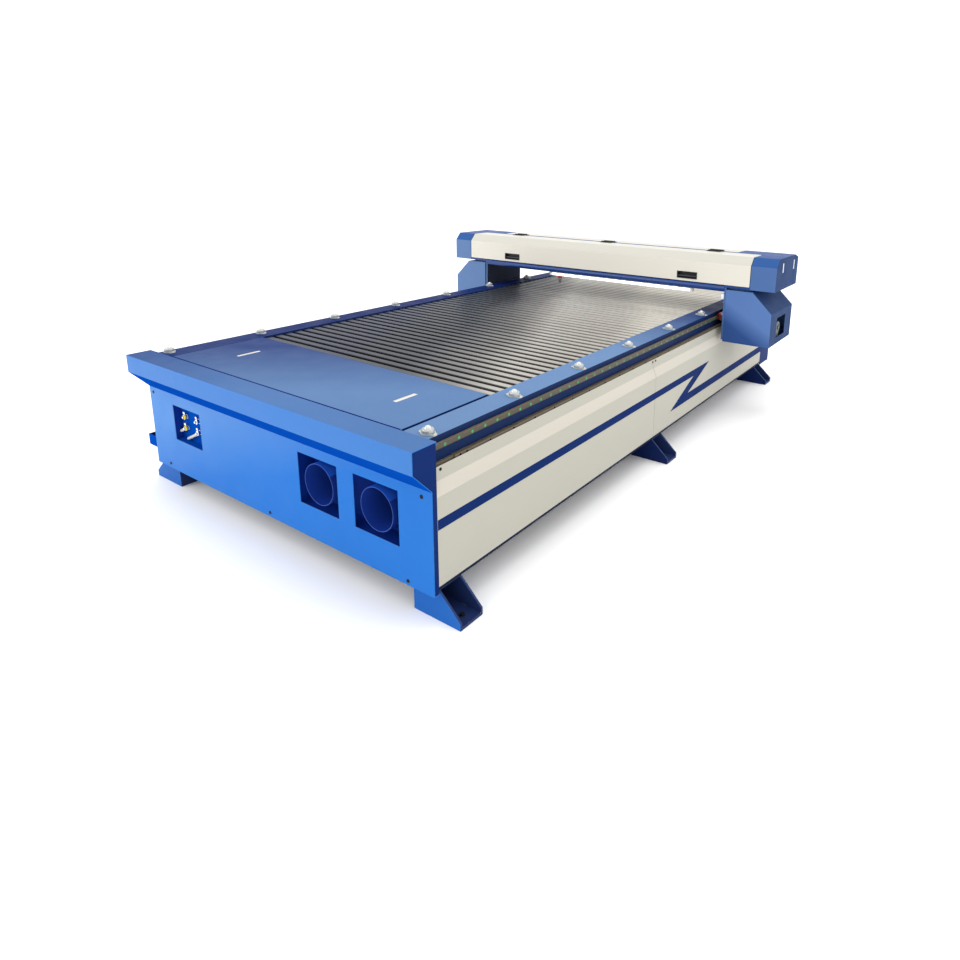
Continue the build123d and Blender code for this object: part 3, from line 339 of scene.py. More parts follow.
# Painted reflection: the rear box's tops take the hood tops' grey-blue.
shade_faces(rear_panel, hood_top_lit_blue, upwards)
dress("end_cheeks", navy_blue, edge_width=0.0006)
front_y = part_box("front_end_panel")[0].y
hood_overhang = 0.072
panel_plane = front_y + hood_overhang


# Screws of the front panel: black steel socket heads that hold the panel to the frame behind it, one near
# each corner and one at the middle of the lower edge.
def settle(piece):
    """Put a new piece's place, turn and size into its mesh."""
    pick(piece)
    bpy.ops.object.transform_apply(location=True, rotation=True, scale=True)


def unmark(mesh):
    """Leave nothing of a mesh selected."""
    for parts in (mesh.vertices, mesh.edges, mesh.polygons):
        parts.foreach_set("select", [False] * len(parts))


def open_faces(piece, wanted):
    """Open a piece for editing with only the faces selected that are wanted by their centre and normal."""
    pick(piece)
    bpy.context.tool_settings.mesh_select_mode = (False, False, True)
    unmark(piece.data)
    for face in piece.data.polygons:
        face.select = wanted(face.center, face.normal)
    bpy.ops.object.mode_set(mode="EDIT")


def close_mesh(smooth_angle=35):
    """Leave edit mode, and smooth the piece where its faces meet at less than an angle."""
    bpy.ops.object.mode_set(mode="OBJECT")
    bpy.ops.object.shade_smooth_by_angle(angle=math.radians(smooth_angle))


def turned(name, start, axis, rings, sides=24):
    """A turned piece: a round bar of the first ring's radius and length, on a point, whose end is then drawn
    out, widened or sunk to each next ring's radius and by its step."""
    along = Vector(axis).normalized()
    radius, length = rings[0]
    middle = Vector(start) + along * length / 2
    turn = along.to_track_quat("Z", "Y").to_euler()
    bpy.ops.mesh.primitive_cylinder_add(
        vertices=sides, radius=radius, depth=length, location=middle, rotation=turn
    )
    piece = bpy.context.object
    piece.name = name
    settle(piece)
    open_faces(piece, lambda centre, normal: normal.dot(along) > 0.9)
    for next_radius, step in rings[1:]:
        bpy.ops.mesh.extrude_region_move(TRANSFORM_OT_translate={"value": along * step})
        share = next_radius / radius
        bpy.ops.transform.resize(value=(share, share, share))
        radius = next_radius
    close_mesh(40)
    return piece


def copies(piece, name, shifts):
    """One piece made of copies of a small model, each with its own mesh and moved by its own shift."""
    made = []
    for shift in shifts[1:]:
        copy = piece.copy()
        copy.data = piece.data.copy()
        copy.location = shift
        collection.objects.link(copy)
        made.append(copy)
    piece.location = shifts[0]
    pick(piece)
    for copy in made:
        copy.select_set(True)
    bpy.ops.object.join()
    settle(piece)
    piece.name = name
    return piece


GRAIN_SCALE = 160.0


def plain_finish(name, colour, roughness, metallic=0.0, coat=0.0, grain=0.03, **values):
    """A moulded or polished surface with a slight grain in its gloss and colour."""
    material = new_material(name, Metallic=metallic, Coat_Weight=coat, Specular_IOR_Level=0.3, **values)
    tree = material.node_tree
    place = add(tree, "TexCoord").outputs["Object"]
    speckle = add(tree, "TexNoise", Vector=place, Scale=GRAIN_SCALE, Detail=3.0)
    smooth, dull = max(roughness - grain, 0.02), roughness + grain
    dark = tuple(0.85 * c for c in colour[:3]) + (1.0,)
    feed(
        tree, tree.nodes["Principled BSDF"],
        Roughness=add(tree, "MapRange", Value=speckle, To_Min=smooth, To_Max=dull),
        Base_Color=add(tree, "Mix", n0=speckle, n6=dark, n7=colour),
    )
    return material


screw_spots = [(-0.762, 0.406), (-0.688, 0.114), (-0.006, 0.111), (0.683, 0.109), (0.750, 0.404)]
black_steel = plain_finish("blackened_steel", (0.012, 0.012, 0.014, 1), 0.4, metallic=0.6)
screw_head = [(0.0062, 0.0010), (0.0054, 0.0007), (0.0030, 0.0), (0.0027, -0.0012)]
screw = turned("screw_model", (0, panel_plane, 0), (0, -1, 0), screw_head, sides=16)
screws = copies(screw, "front_panel_screws", [(x, 0, z) for x, z in screw_spots])
seat(screws, black_steel, "base")

# Exhaust ducts: thin rolled tubes in a folded box behind the two openings, sprayed with the panel. The ducts
# and the box are painted darker blues, as painted shade in the openings, the ducts' outer tops a brighter
# blue, as painted light, and the rims' front faces a paler blue.
duct_shade_blue = enamel("duct_shade_enamel", linear(24, 54, 138), roughness=0.45, specular=0.08)
pale_rim_paint = enamel("pale_rim_enamel", linear(64, 88, 158), specular=0.02)
box_shade_blue = enamel("box_shade_enamel", linear(14, 48, 138), roughness=0.5, specular=0.05)
duct_top_lit_blue = enamel("duct_top_lit_enamel", linear(32, 88, 196), roughness=0.45, specular=0.08)
ducts = dress("exhaust_ducts", duct_shade_blue, edge_width=0.0004, crease=40)
duct_low, duct_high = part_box("exhaust_ducts")
duct_axis = (duct_low.z + duct_high.z) / 2
# Painted light on the ducts' outer tops; the rest of the ducts and the box carry painted shade.
shade_faces(ducts, duct_top_lit_blue, lambda centre, normal: normal.z > 0.6 and centre.z > duct_axis)
shade_faces(ducts, pale_rim_paint, lambda centre, normal: normal.y < -0.6)
dress("duct_box", box_shade_blue, edge_width=0.0006)


# Service box: a shallow folded tray behind the window, with four nickelled push fittings screwed into its
# back. The left two have yellow collars, and the lower two white plastic elbows.
def sideways(centre, normal):
    """Whether a face looks to the left or the right."""
    return abs(normal.x) > 0.7


# Painted shade: the tray behind the window is given the deep fold blue, and its sides another dark blue, for
# the shade in the recess.
service_box = dress("service_box", fold_shade_blue, edge_width=0.0006)
shade_faces(service_box, box_shade_blue, sideways)
coupling_low, coupling_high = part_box("service_couplings")
coupling_radius = 0.010
coupling_xs = (coupling_low.x + coupling_radius, coupling_high.x - coupling_radius)
coupling_zs = (coupling_low.z + coupling_radius, coupling_high.z - coupling_radius)
nickel = plain_finish("bright_nickel", (0.80, 0.81, 0.82, 1), 0.14, metallic=1.0, grain=0.04)
yellow_plastic = plain_finish("yellow_plastic", linear(238, 214, 20), 0.35, coat=0.2)
hose_white = plain_finish("elbow_white", linear(200, 200, 192), 0.4)
fitting = turned(
    "fitting_model", (0, coupling_high.y, 0), (0, -1, 0),
    [(0.010, 0.003), (0.0085, 0.0004), (0.0085, 0.004), (0.005, 0.001), (0.005, 0.011), (0.004, 0.001)],
)
spots = [(x, 0, z) for x in coupling_xs for z in coupling_zs]
fittings = copies(fitting, "coupling_bodies", spots)
seat(fittings, nickel, "base")
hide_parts("service_couplings")
collar = turned(
    "collar_model", (0, coupling_high.y - 0.0085, 0), (0, -1, 0),
    [(0.0085, 0.0015), (0.0100, 0.001), (0.0100, 0.003), (0.0080, 0.0012), (0.0052, 0.0), (0.0052, -0.002)],
)
collars = copies(collar, "coupling_collars", spots)
seat(collars, yellow_plastic, "base")
shade_faces(collars, nickel, lambda centre, normal: centre.x > sum(coupling_xs) / 2)
port = turned(
    "port_model", (0, coupling_high.y - 0.009, 0.010), (0, -0.25, 1),
    [(0.0042, 0.006), (0.0054, 0.0), (0.0054, 0.004), (0.0046, 0.001), (0.0046, 0.003), (0.003, 0.001)], 16,
)
ports = copies(port, "coupling_ports", spots)
seat(ports, nickel, "base")
elbow_y = coupling_high.y - 0.010
elbows = [
    ((coupling_xs[0] - 0.006, elbow_y, coupling_zs[0] - 0.004), (-0.036, 0.0, -0.017)),
    ((coupling_xs[1] - 0.008, elbow_y, coupling_zs[0] - 0.007), (-0.074, 0.0, -0.036)),
]
for number, (start, reach) in enumerate(elbows):
    length = Vector(reach).length
    elbow = turned(
        f"white_elbow_{number + 1}", start, reach,
        [(0.0045, 0.004), (0.0062, 0.002), (0.0062, length - 0.010), (0.0054, 0.002), (0.0040, 0.0),
         (0.0036, -0.004)],
    )
    seat(elbow, hose_white, "base")

# Table slats: extruded aluminium channels, drawn along their length. Their metal is painted dark on the left
# and light to the right, as painted light and reflection, and their edges and sides go near black at the
# front, as painted shade in the gaps between them. First comes drawn metal: fine lines and soft stains.
tree, given, result = new_group(
    "drawn_metal", Place=VECTOR, Metal=COLOUR, Stain=COLOUR, Roughness=NUMBER, Dirt=NUMBER,
)
drawn_group = tree
lines = add(tree, "TexNoise", Vector=given["Place"], Scale=1.0, Detail=5.0, Roughness=0.7)
stains = add(tree, "TexNoise", Vector=given["Place"], Scale=0.12, Detail=6.0, Roughness=0.65)
stain_mask = add(tree, "MapRange", Value=stains, From_Min=0.42, From_Max=0.72)
stain_amount = add(tree, "Math", "MULTIPLY", n0=stain_mask, n1=given["Dirt"])
stained = add(tree, "Mix", n0=stain_amount, n6=given["Metal"], n7=given["Stain"])
line_tone = add(tree, "MapRange", Value=lines, From_Min=0.3, From_Max=0.7, To_Min=0.88, To_Max=1.1)
lined = add(tree, "HueSaturation", Color=stained, Value=line_tone)
line_rough = add(tree, "MapRange", Value=lines, From_Min=0.3, From_Max=0.7, To_Min=-0.06, To_Max=0.1)
rough_sum = add(tree, "Math", "ADD", n0=given["Roughness"], n1=line_rough)
line_bump = add(tree, "Bump", Strength=0.15, Distance=0.0003, Height=lines)
feed(tree, result, Color=lined, Roughness=rough_sum, Normal=line_bump)

slat_low, slat_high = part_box("table_slats")
slat_pitch = 0.050
slat_middle = slat_low.y + 0.0175
unshaded_half_width, shaded_half_width = 0.0118, 0.0160
edge_from, edge_to = slat_high.z - 0.0006, slat_high.z - 0.0020
gap_shade_black = linear(22, 22, 24)
slat_light_tones = [
    (0.06, (44, 50, 61)), (0.28, (54, 57, 63)), (0.36, (83, 84, 88)), (0.50, (124, 122, 120)),
    (0.62, (172, 169, 163)), (0.8, (166, 162, 154)), (0.9, (168, 164, 156)),
]
slat_metal = finish_material(
    "slat_aluminium", drawn_group, (2.0, 420, 60), metallic=0.55, specular=0.03,
    Roughness=0.36, Dirt=0.35, Stain=linear(64, 62, 64),
)
tree = slat_metal.node_tree
place = add(tree, "TexCoord").outputs["Object"]
axes = add(tree, "SeparateXYZ", Vector=place).outputs
drift = add(tree, "TexNoise", Vector=place, Scale=1.6, Detail=4.0)
drift_range = add(tree, "MapRange", Value=drift, From_Min=0.3, From_Max=0.7, To_Min=0.46, To_Max=0.54)
# Painted light and reflection: the slats' metal runs from dark at the left front to light at the right rear.
slat_light_way = add(tree, "VectorMath", "DOT_PRODUCT", n0=place, n1=(0.76, 0.34, 0))
slat_light_ramp = add(tree, "ValToRGB", Fac=add(tree, "Math", "ADD", n0=slat_light_way, n1=drift_range))
ramp = slat_light_ramp.color_ramp
ramp.elements[0].color = linear(37, 45, 68)
ramp.elements[1].color = linear(196, 191, 180)
for position, tone in slat_light_tones:
    ramp.elements.new(position).color = linear(*tone)
# Painted shade: each slat's edges and the faces below its top go near black, most at the front, for the shade
# in the gaps between the slats.
from_first = add(tree, "Math", "SUBTRACT", n0=axes["Y"], n1=slat_middle)
from_middle = add(tree, "Math", "PINGPONG", n0=from_first, n1=slat_pitch / 2)
gap_shade = add(
    tree, "MapRange", Value=from_middle, From_Min=unshaded_half_width, From_Max=shaded_half_width, To_Max=0.88,
)
below_top = add(tree, "MapRange", Value=axes["Z"], From_Min=edge_from, From_Max=edge_to, To_Max=0.9)
dark_part = add(tree, "Math", "MAXIMUM", n0=gap_shade, n1=below_top)
gap_shade_fade = add(tree, "MapRange", Value=axes["Y"], From_Min=-0.6, From_Max=0.2, To_Min=1.0, To_Max=0.2)
gap_shade_here = add(tree, "Math", "MULTIPLY", n0=dark_part, n1=gap_shade_fade)
gap_shaded = add(tree, "Mix", n0=gap_shade_here, n6=slat_light_ramp, n7=gap_shade_black)
feed(tree, tree.nodes["effect"], Metal=gap_shaded)
dress("table_slats", slat_metal, edge_width=0.0006, segments=1)


# Front cover plate: a shallow lid of folded sheet, sprayed blue, that closes the front of the table. Each of
# its two slots has a cream plastic lamp strip under it. Its blue is painted darker on the left and lighter to
# the right front, as painted light, and its side faces are navy, as painted shade.
def bar(name, low, high, edge_width=0.0008):
    """A bar between two corners, with its edges rolled over."""
    middle = (Vector(low) + Vector(high)) / 2
    size = Vector(high) - Vector(low)
    bpy.ops.mesh.primitive_cube_add(size=1, location=middle, scale=size)
    piece = bpy.context.object
    piece.name = name
    settle(piece)
    roll_edges(piece, edge_width)
    return piece


plate_falloff_blue = enamel(
    "plate_enamel", linear(32, 54, 105), roughness=0.36, specular=0.01, mottle=0.02, wear=0.0,
    far=linear(81, 111, 152), fade=(1.0, -1.38, 0), start=-1.16,
)
plate = dress("front_cover_plate", plate_falloff_blue, edge_width=0.0012)
# Painted shade: navy on the plate's side faces.
shade_faces(plate, navy_blue, lambda centre, normal: normal.z < 0.3)
plate_low, plate_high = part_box("front_cover_plate")
strip_cream = plain_finish("slot_strip", linear(206, 202, 192), 0.4)
slot_offset, slot_half, slot_front, slot_back = 0.446, 0.0097, 0.1613, 0.2607
strip_drop, strip_depth, strip_edge = 0.0012, 0.012, 0.0024
for number, side in enumerate((-1, 1)):
    low = (side * slot_offset - slot_half, plate_low.y + slot_front, plate_high.z - strip_depth)
    high = (side * slot_offset + slot_half, plate_low.y + slot_back, plate_high.z - strip_drop)
    strip = bar(f"slot_strip_{number + 1}", low, high, edge_width=0.0006)
    open_faces(strip, upwards)
    bpy.ops.mesh.inset(thickness=strip_edge, depth=-0.0012)
    close_mesh()
    seat(strip, strip_cream, "base")

# Seam strip: a thin dark navy strip in the seam between the hood and the cover plate. It is painted shade: it
# stands for the shade in the gap there.
seam_shade_navy = enamel("seam_shade_enamel", linear(7, 24, 96), roughness=0.6, specular=0.01, wear=0.0)
seam_low = (plate_low.x - 0.004, plate_low.y - 0.0044, plate_high.z - 0.006)
seam_high = (plate_high.x + 0.004, plate_low.y - 0.0004, plate_high.z + 0.0046)
seam_strip = bar("seam_strip", seam_low, seam_high, edge_width=0.0004)
seat(seam_strip, seam_shade_navy, "base")


# Dust tub and cable tray: plain folded sheet, hung in the frame and screwed to its side. The tub is
# blackened inside by smoke, and the tray is sprayed blue.
OIL_STAIN = (0.2, 0.19, 0.17, 1)


def drawn(name, metal, stretch, roughness, dirt, metallic=1.0, specular=0.4):
    """Drawn or brushed metal, with its lines along the direction that the stretch is smallest in."""
    return finish_material(
        name, drawn_group, stretch, metallic=metallic, specular=specular,
        Metal=metal, Stain=OIL_STAIN, Roughness=roughness, Dirt=dirt,
    )


tub_sheet = drawn(
    "tub_sheet", linear(22, 22, 24), (60, 60, 8), roughness=0.7, dirt=0.6, metallic=0.1, specular=0.1,
)
cover_with("dust_tub", tub_sheet)
# Painted shade: the tray is given the deep fold blue, with navy sides, for the shade it lies in.
tray = dress("cable_tray", fold_shade_blue, edge_width=0.0012)
shade_faces(tray, navy_blue, sideways)

# Side panels: cream sheet with a sloping band near the top, a seam in the middle and a navy stripe that
# breaks once into a zigzag. Small black screws hold the top edge. The sloping band is painted a lighter
# cream, as painted light on faces that look up.
SIDES = ((-1, "left"), (1, "right"))
cream = enamel("cream_enamel", linear(169, 167, 156), roughness=0.46, mottle=0.015, wear=0.1)
cream_slope_lit = enamel("cream_slope_enamel", linear(188, 183, 172), roughness=0.46, mottle=0.015, wear=0.1)
stripe_paint = enamel("stripe_enamel", linear(17, 39, 90), roughness=0.45, specular=0.01, wear=0.0)
for name in ("left_side_panels", "right_side_panels"):
    panels = dress(name, cream, edge_width=0.0006)
    # Painted light: a lighter cream on the faces that slope up.
    shade_faces(panels, cream_slope_lit, lambda centre, normal: 0.2 < normal.z < 0.9)
side_low, side_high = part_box("right_side_panels")
stripe_top, stripe_under = 0.334, 0.301
stripe_rear_top, stripe_rear_under = 0.228, 0.188
tip_upper, notch_upper = front_y + 2.155, front_y + 1.948
tip_lower, notch_lower = front_y + 1.683, front_y + 1.890
stripe_front, stripe_rear = side_low.y + 0.0008, side_high.y - 0.0008
slant_back = notch_lower - tip_upper
slant_down = (stripe_rear_top + stripe_rear_under - stripe_top - stripe_under) / 2
narrowing = (stripe_rear_top - stripe_rear_under) / (stripe_top - stripe_under)
rear_run = stripe_rear - (notch_lower + tip_lower) / 2
stripe_thickness = 0.0003
hair = 0.001


def open_points(piece, lowest, edges=False):
    """Open a piece for editing with the points selected that are past a place, or the edges there."""
    pick(piece)
    unmark(piece.data)
    points = piece.data.vertices
    for point in points:
        point.select = all(here > least for here, least in zip(point.co, lowest))
    if edges:
        for line in piece.data.edges:
            line.select = all(points[end].select for end in line.vertices)
    bpy.context.tool_settings.mesh_select_mode = (not edges, edges, False)
    bpy.ops.object.mode_set(mode="EDIT")


for side, label in SIDES:
    middle = (side * side_high.x, (stripe_front + notch_upper) / 2, (stripe_top + stripe_under) / 2)
    bpy.ops.mesh.primitive_plane_add(size=1, location=middle, rotation=(0, side * math.pi / 2, 0))
    stripe = bpy.context.object
    stripe.name = label + "_side_stripe"
    stripe.scale = (stripe_top - stripe_under, notch_upper - stripe_front, 1)
    settle(stripe)
    open_points(stripe, (-math.inf, notch_upper - hair, stripe_top - hair))
    bpy.ops.transform.translate(value=(0, tip_upper - notch_upper, 0))
    bpy.ops.object.mode_set(mode="OBJECT")
    open_points(stripe, (-math.inf, notch_upper - hair, -math.inf), edges=True)
    bpy.ops.mesh.extrude_edges_move(TRANSFORM_OT_translate={"value": (0, slant_back, slant_down)})
    bpy.ops.transform.resize(value=(1, 1, narrowing))
    bpy.ops.mesh.extrude_edges_move(TRANSFORM_OT_translate={"value": (0, rear_run, 0)})
    bpy.ops.transform.resize(value=(1, 0, 1))
    bpy.ops.object.mode_set(mode="OBJECT")
    wall = stripe.modifiers.new("stripe_thickness", "SOLIDIFY")
    wall.thickness = stripe_thickness
    wall.offset = 0
    apply_all(stripe)
    seat(stripe, stripe_paint, "base")

panel_screw_z = 0.4765
panel_screw_places = [0.124, 1.492, 1.522, 3.046]
panel_face = 0.776
small_head = [(radius * 0.8, step) for radius, step in screw_head]
for side, label in SIDES:
    head = turned(label + "_head_model", (side * panel_face, 0, panel_screw_z), (side, 0, 0), small_head, 14)
    heads = copies(head, label + "_panel_screws", [(0, front_y + y, 0) for y in panel_screw_places])
    seat(heads, black_steel, "base")

# Feet: thick plates welded to a pocket, sprayed blue, bolted to the floor through the base plate. Light and
# shade are painted into the blue: the front feet's outer sides are bright, as painted light, the other feet's
# outer sides dark navy and the pocket dark, as painted shade. The sloping edges and the base are rubbed.
foot_blue_lit = enamel("foot_blue_enamel", linear(31, 92, 169), specular=0.06, wear=1.0, mottle=0.1)
foot_shade = enamel("foot_shade_enamel", linear(14, 30, 76), roughness=0.42, specular=0.06, wear=1.0)
foot_pocket_shade = enamel("foot_pocket_shade_enamel", linear(30, 45, 88), specular=0.1, wear=1.0, mottle=0.15)
foot_edge = enamel("foot_edge_enamel", linear(26, 46, 92), roughness=0.4, specular=0.15, wear=1.0)
foot_ys = [front_y + 0.148, front_y + 1.561, front_y + 3.025]
foot_half_width = 0.046


def outer_side(centre, normal):
    """Whether a face is the outer side of one of the two plates of a foot."""
    return abs(normal.y) > 0.9 and min(abs(centre.y - y) for y in foot_ys) > foot_half_width


# Painted light on the front feet's outer sides; painted shade on the pockets and on the outer sides of the
# feet behind them.
for name in ("left_feet", "right_feet"):
    feet = dress(name, foot_pocket_shade, edge_width=0.0012)
    shade_faces(feet, foot_edge, lambda centre, normal: abs(normal.x) > 0.5 and normal.z > 0.3)
    shade_faces(feet, foot_shade, outer_side)
    shade_faces(
        feet, foot_blue_lit, lambda centre, normal: outer_side(centre, normal) and centre.y < front_y + 0.3,
    )
anchor_rings = [
    (0.0095, 0.0016), (0.0090, 0.0004), (0.0064, 0.0), (0.0066, 0.0004), (0.0066, 0.0040), (0.0058, 0.0008),
    (0.0036, 0.0), (0.0032, -0.0014),
]
anchor_x = 0.828
base_plate_top = 0.0100
anchor = turned("anchor_model", (0, 0, base_plate_top), (0, 0, 1), anchor_rings, 18)
anchors = copies(anchor, "anchor_bolts", [(side * anchor_x, y, 0) for side in (-1, 1) for y in foot_ys])
seat(anchors, black_steel, "base")


# Linear guides: ground steel bars under an oil film, bolted to the side beams. Each bolt hole is closed with
# a green plastic cap, pressed in flush. Their upward faces are a lighter copy of the steel, as painted light.
def in_line(piece, name, count, step):
    """A row of copies of a small model, each a step on from the last."""
    row = piece.modifiers.new("row", "ARRAY")
    row.count = count
    row.use_relative_offset = False
    row.use_constant_offset = True
    row.constant_offset_displace = step
    apply_all(piece)
    piece.name = name
    return piece


guide_steel = drawn(
    "guide_steel", linear(70, 64, 52), (300, 3.0, 300), roughness=0.45, dirt=0.35, metallic=0.2, specular=0.1,
)
guide_top_lit = drawn(
    "guide_top_lit_steel", linear(104, 96, 80), (300, 3.0, 300), roughness=0.4, dirt=0.3, metallic=0.3, specular=0.1,
)
rails = dress("linear_rails", guide_steel, edge_width=0.0005)
# Painted light: a lighter steel on the faces that look up.
shade_faces(rails, guide_top_lit, lambda centre, normal: normal.z > 0.3)
rail_low, rail_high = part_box("linear_rails")
green_plastic = plain_finish("green_cap_plastic", linear(20, 168, 88), 0.4, coat=0.1)
cap_pitch, cap_radius, cap_height, first_cap = 0.060, 0.0046, 0.0009, 0.156
cap_count = int((rail_high.y - front_y - first_cap) / cap_pitch) + 1
cap_z = (rail_low.z + rail_high.z) / 2
cap_rings = [(cap_radius, 0.0010), (cap_radius * 0.85, 0.0001), (cap_radius * 0.7, -0.0002)]
for side, label in SIDES:
    cap_place = (side * (rail_high.x - cap_height), front_y + first_cap, cap_z)
    cap = turned(label + "_cap_model", cap_place, (side, 0, 0), cap_rings, 14)
    caps = in_line(cap, label + "_rail_caps", cap_count, (0, cap_pitch, 0))
    seat(caps, green_plastic, "base")

# Racks: dark greased steel bars with teeth on their upper edge, held by countersunk bolts, with a thinner
# bar at each end. Their upward faces, teeth included, are a slightly darker copy of the steel, as painted
# shade.
rack_steel = drawn("rack_steel", linear(126, 114, 94), (200, 12, 200), roughness=0.5, dirt=0.4, metallic=0.2)
rack_top_shade = drawn("rack_top_shade_steel", linear(120, 106, 88), (200, 12, 200), roughness=0.5, dirt=0.4, metallic=0.2)
# Painted shade: a slightly darker copy of the steel on the faces that look up, teeth included.
for name in ("racks", "rack_end_clamps"):
    rack = dress(name, rack_steel, edge_width=0.0004)
    shade_faces(rack, rack_top_shade, upwards)
rack_low, rack_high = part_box("racks")
gear_module = 0.0015
tooth_pitch = math.pi * gear_module
tooth_height = 2.2 * gear_module
tooth_root, tooth_tip = 0.72, 0.39
beam_outer = 0.752
tooth_count = int((rack_high.y - rack_low.y) / tooth_pitch)
tooth_size = (rack_high.x - beam_outer - 0.0012, tooth_pitch * tooth_root, tooth_height)
for side, label in SIDES:
    middle_x = side * (beam_outer + rack_high.x) / 2
    middle = (middle_x, rack_low.y + tooth_pitch / 2, rack_high.z + tooth_height / 2)
    bpy.ops.mesh.primitive_cube_add(size=1, location=middle, scale=tooth_size)
    tooth = bpy.context.object
    settle(tooth)
    open_faces(tooth, upwards)
    bpy.ops.transform.resize(value=(1, tooth_tip, 1))
    close_mesh(10)
    teeth = in_line(tooth, label + "_rack_teeth", tooth_count, (0, tooth_pitch, 0))
    seat(teeth, rack_steel, "base")
    shade_faces(teeth, rack_top_shade, upwards)
rack_bolt_pitch, first_rack_bolt = 0.120, 0.360
bolt_count = int((rack_high.y - front_y - first_rack_bolt) / rack_bolt_pitch) + 1
bolt_places = [front_y + 0.219, front_y + 0.249]
bolt_places += [front_y + first_rack_bolt + i * rack_bolt_pitch for i in range(bolt_count)]
bolt_z = rack_high.z - 0.0045
bolt_rings = [(0.0040, 0.0007), (0.0034, 0.0004), (0.0020, 0.0), (0.0018, -0.0009)]
for side, label in SIDES:
    bolt = turned(label + "_bolt_model", (side * rack_high.x, 0, bolt_z), (side, 0, 0), bolt_rings, 14)
    bolts = copies(bolt, label + "_rack_bolts", [(0, y, 0) for y in bolt_places])
    seat(bolts, black_steel, "base")

# Ball transfer units: pressed and nickelled cups that hold a steel ball each, screwed to the side beams
# through two ears.
satin_nickel = plain_finish("satin_nickel", linear(172, 176, 176), 0.3, metallic=0.5, grain=0.05)
dress("ball_cups", satin_nickel, edge_width=0.0006, crease=50)
ball_steel = plain_finish("ball_steel", linear(206, 206, 202), 0.2, metallic=0.6, grain=0.03)
cover_with("transfer_balls", ball_steel)
for face in nodes["transfer_balls"].data.polygons:
    face.use_smooth = True
cup_low, cup_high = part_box("ball_cups")
cup_line, cup_first, cup_pitch, cup_count = cup_high.x - 0.032, cup_low.y + 0.0225, 0.409, 8
ear_reach, ear_top = 0.0262, cup_low.z + 0.003
ear_screw = turned(
    "ear_screw_model", (cup_line + ear_reach, cup_first, ear_top), (0, 0, 1),
    [(0.0038, 0.0009), (0.0034, 0.0006), (0.0022, 0.0004), (0.0010, 0.0), (0.0008, -0.0006)], 14,
)
ear_screw = in_line(ear_screw, "ear_screw_row", cup_count, (0, cup_pitch, 0))
ear_xs = (0, -2 * ear_reach, -2 * cup_line, -2 * cup_line - 2 * ear_reach)
ear_screws = copies(ear_screw, "ball_unit_screws", [(x, 0, 0) for x in ear_xs])
seat(ear_screws, ball_steel, "base")

# Gantry legs: folded sheet housings round the drive, bolted to thick plates. Each outer face has a window
# over the motor, with the motor's mounting plate behind it. Light and shade are painted into their blue: the
# front blue fades a little darker to the right as painted light falloff, the right leg's front darkens
# towards the lower left as a painted shadow, the sides are darker and the undersides navy as painted shade,
# and the plates' sides are a dark grey-navy as painted shade.
# Painted light: the front blue fades a little darker to the right.
gantry_front_falloff_blue = enamel(
    "gantry_front_falloff_enamel", linear(92, 120, 164), mottle=0.06,
    far=linear(74, 104, 156), fade=(0.5, 0, 0), start=0.5,
)
# Painted shadow: the right leg's front darkens towards the lower left.
right_leg_shadow_blue = enamel(
    "right_leg_shadow_enamel", linear(82, 113, 167), mottle=0.05,
    far=linear(43, 73, 130), fade=(-5.6, 0, -8.8), start=10.3,
)
gantry_side_shade_blue = enamel("gantry_side_shade_enamel", linear(38, 60, 100), specular=0.01)
gantry_top_shade_blue = enamel("gantry_top_shade_enamel", linear(44, 70, 124), specular=0.02)
gantry_fold_shade_blue = enamel("gantry_fold_shade_enamel", linear(46, 82, 138), specular=0.03)
for name, front_blue in (("left_leg_cover", gantry_front_falloff_blue), ("right_leg_cover", right_leg_shadow_blue)):
    leg = dress(name, front_blue, edge_width=0.0016)
    # Painted shade: a darker blue on the legs' sides and navy on their undersides.
    shade_faces(leg, gantry_side_shade_blue, lambda centre, normal: abs(normal.x) > 0.5)
    shade_faces(leg, navy_blue, lambda centre, normal: normal.z < -0.5)
leg_plates = dress("leg_plates", gantry_front_falloff_blue, edge_width=0.001)
plate_shade = enamel("leg_plate_shade_enamel", linear(34, 42, 62), roughness=0.45)
# Painted shade: dark grey-navy on the plates' sides.
shade_faces(leg_plates, plate_shade, sideways)
motor_black = enamel("motor_enamel", linear(40, 42, 46), roughness=0.45, specular=0.3)
dress("drive_motors", motor_black, edge_width=0.0012)
for name in ("left_pinion", "right_pinion"):
    cover_with(name, rack_steel)
bearing_steel = drawn("bearing_steel", linear(120, 120, 122), (60, 60, 60), roughness=0.35, dirt=0.4)
dress("bearing_blocks", bearing_steel, edge_width=0.0008)
red_plastic = plain_finish("red_seal_plastic", linear(168, 24, 30), 0.4, coat=0.1)
dress("bearing_seals", red_plastic, edge_width=0.0006)
leg_low, leg_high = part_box("right_leg_cover")
zinc_plate = drawn("zinc_plate", linear(84, 90, 92), (40, 40, 40), roughness=0.5, dirt=0.3, metallic=0.1)
plate_x, plate_y, plate_z = leg_high.x - 0.018, leg_low.y + 0.184, 0.500
disc_rings = [
    (0.034, 0.004), (0.031, 0.001), (0.020, 0.0), (0.020, -0.002), (0.010, 0.0), (0.010, 0.006),
    (0.007, 0.001),
]
arm_front, arm_rear = plate_y - 0.026, plate_y + 0.026
arm_bottom, arm_top, shelf_top = plate_z - 0.072, plate_z - 0.010, plate_z - 0.068
arm_half_wall, shelf_inner = 0.002, 0.899
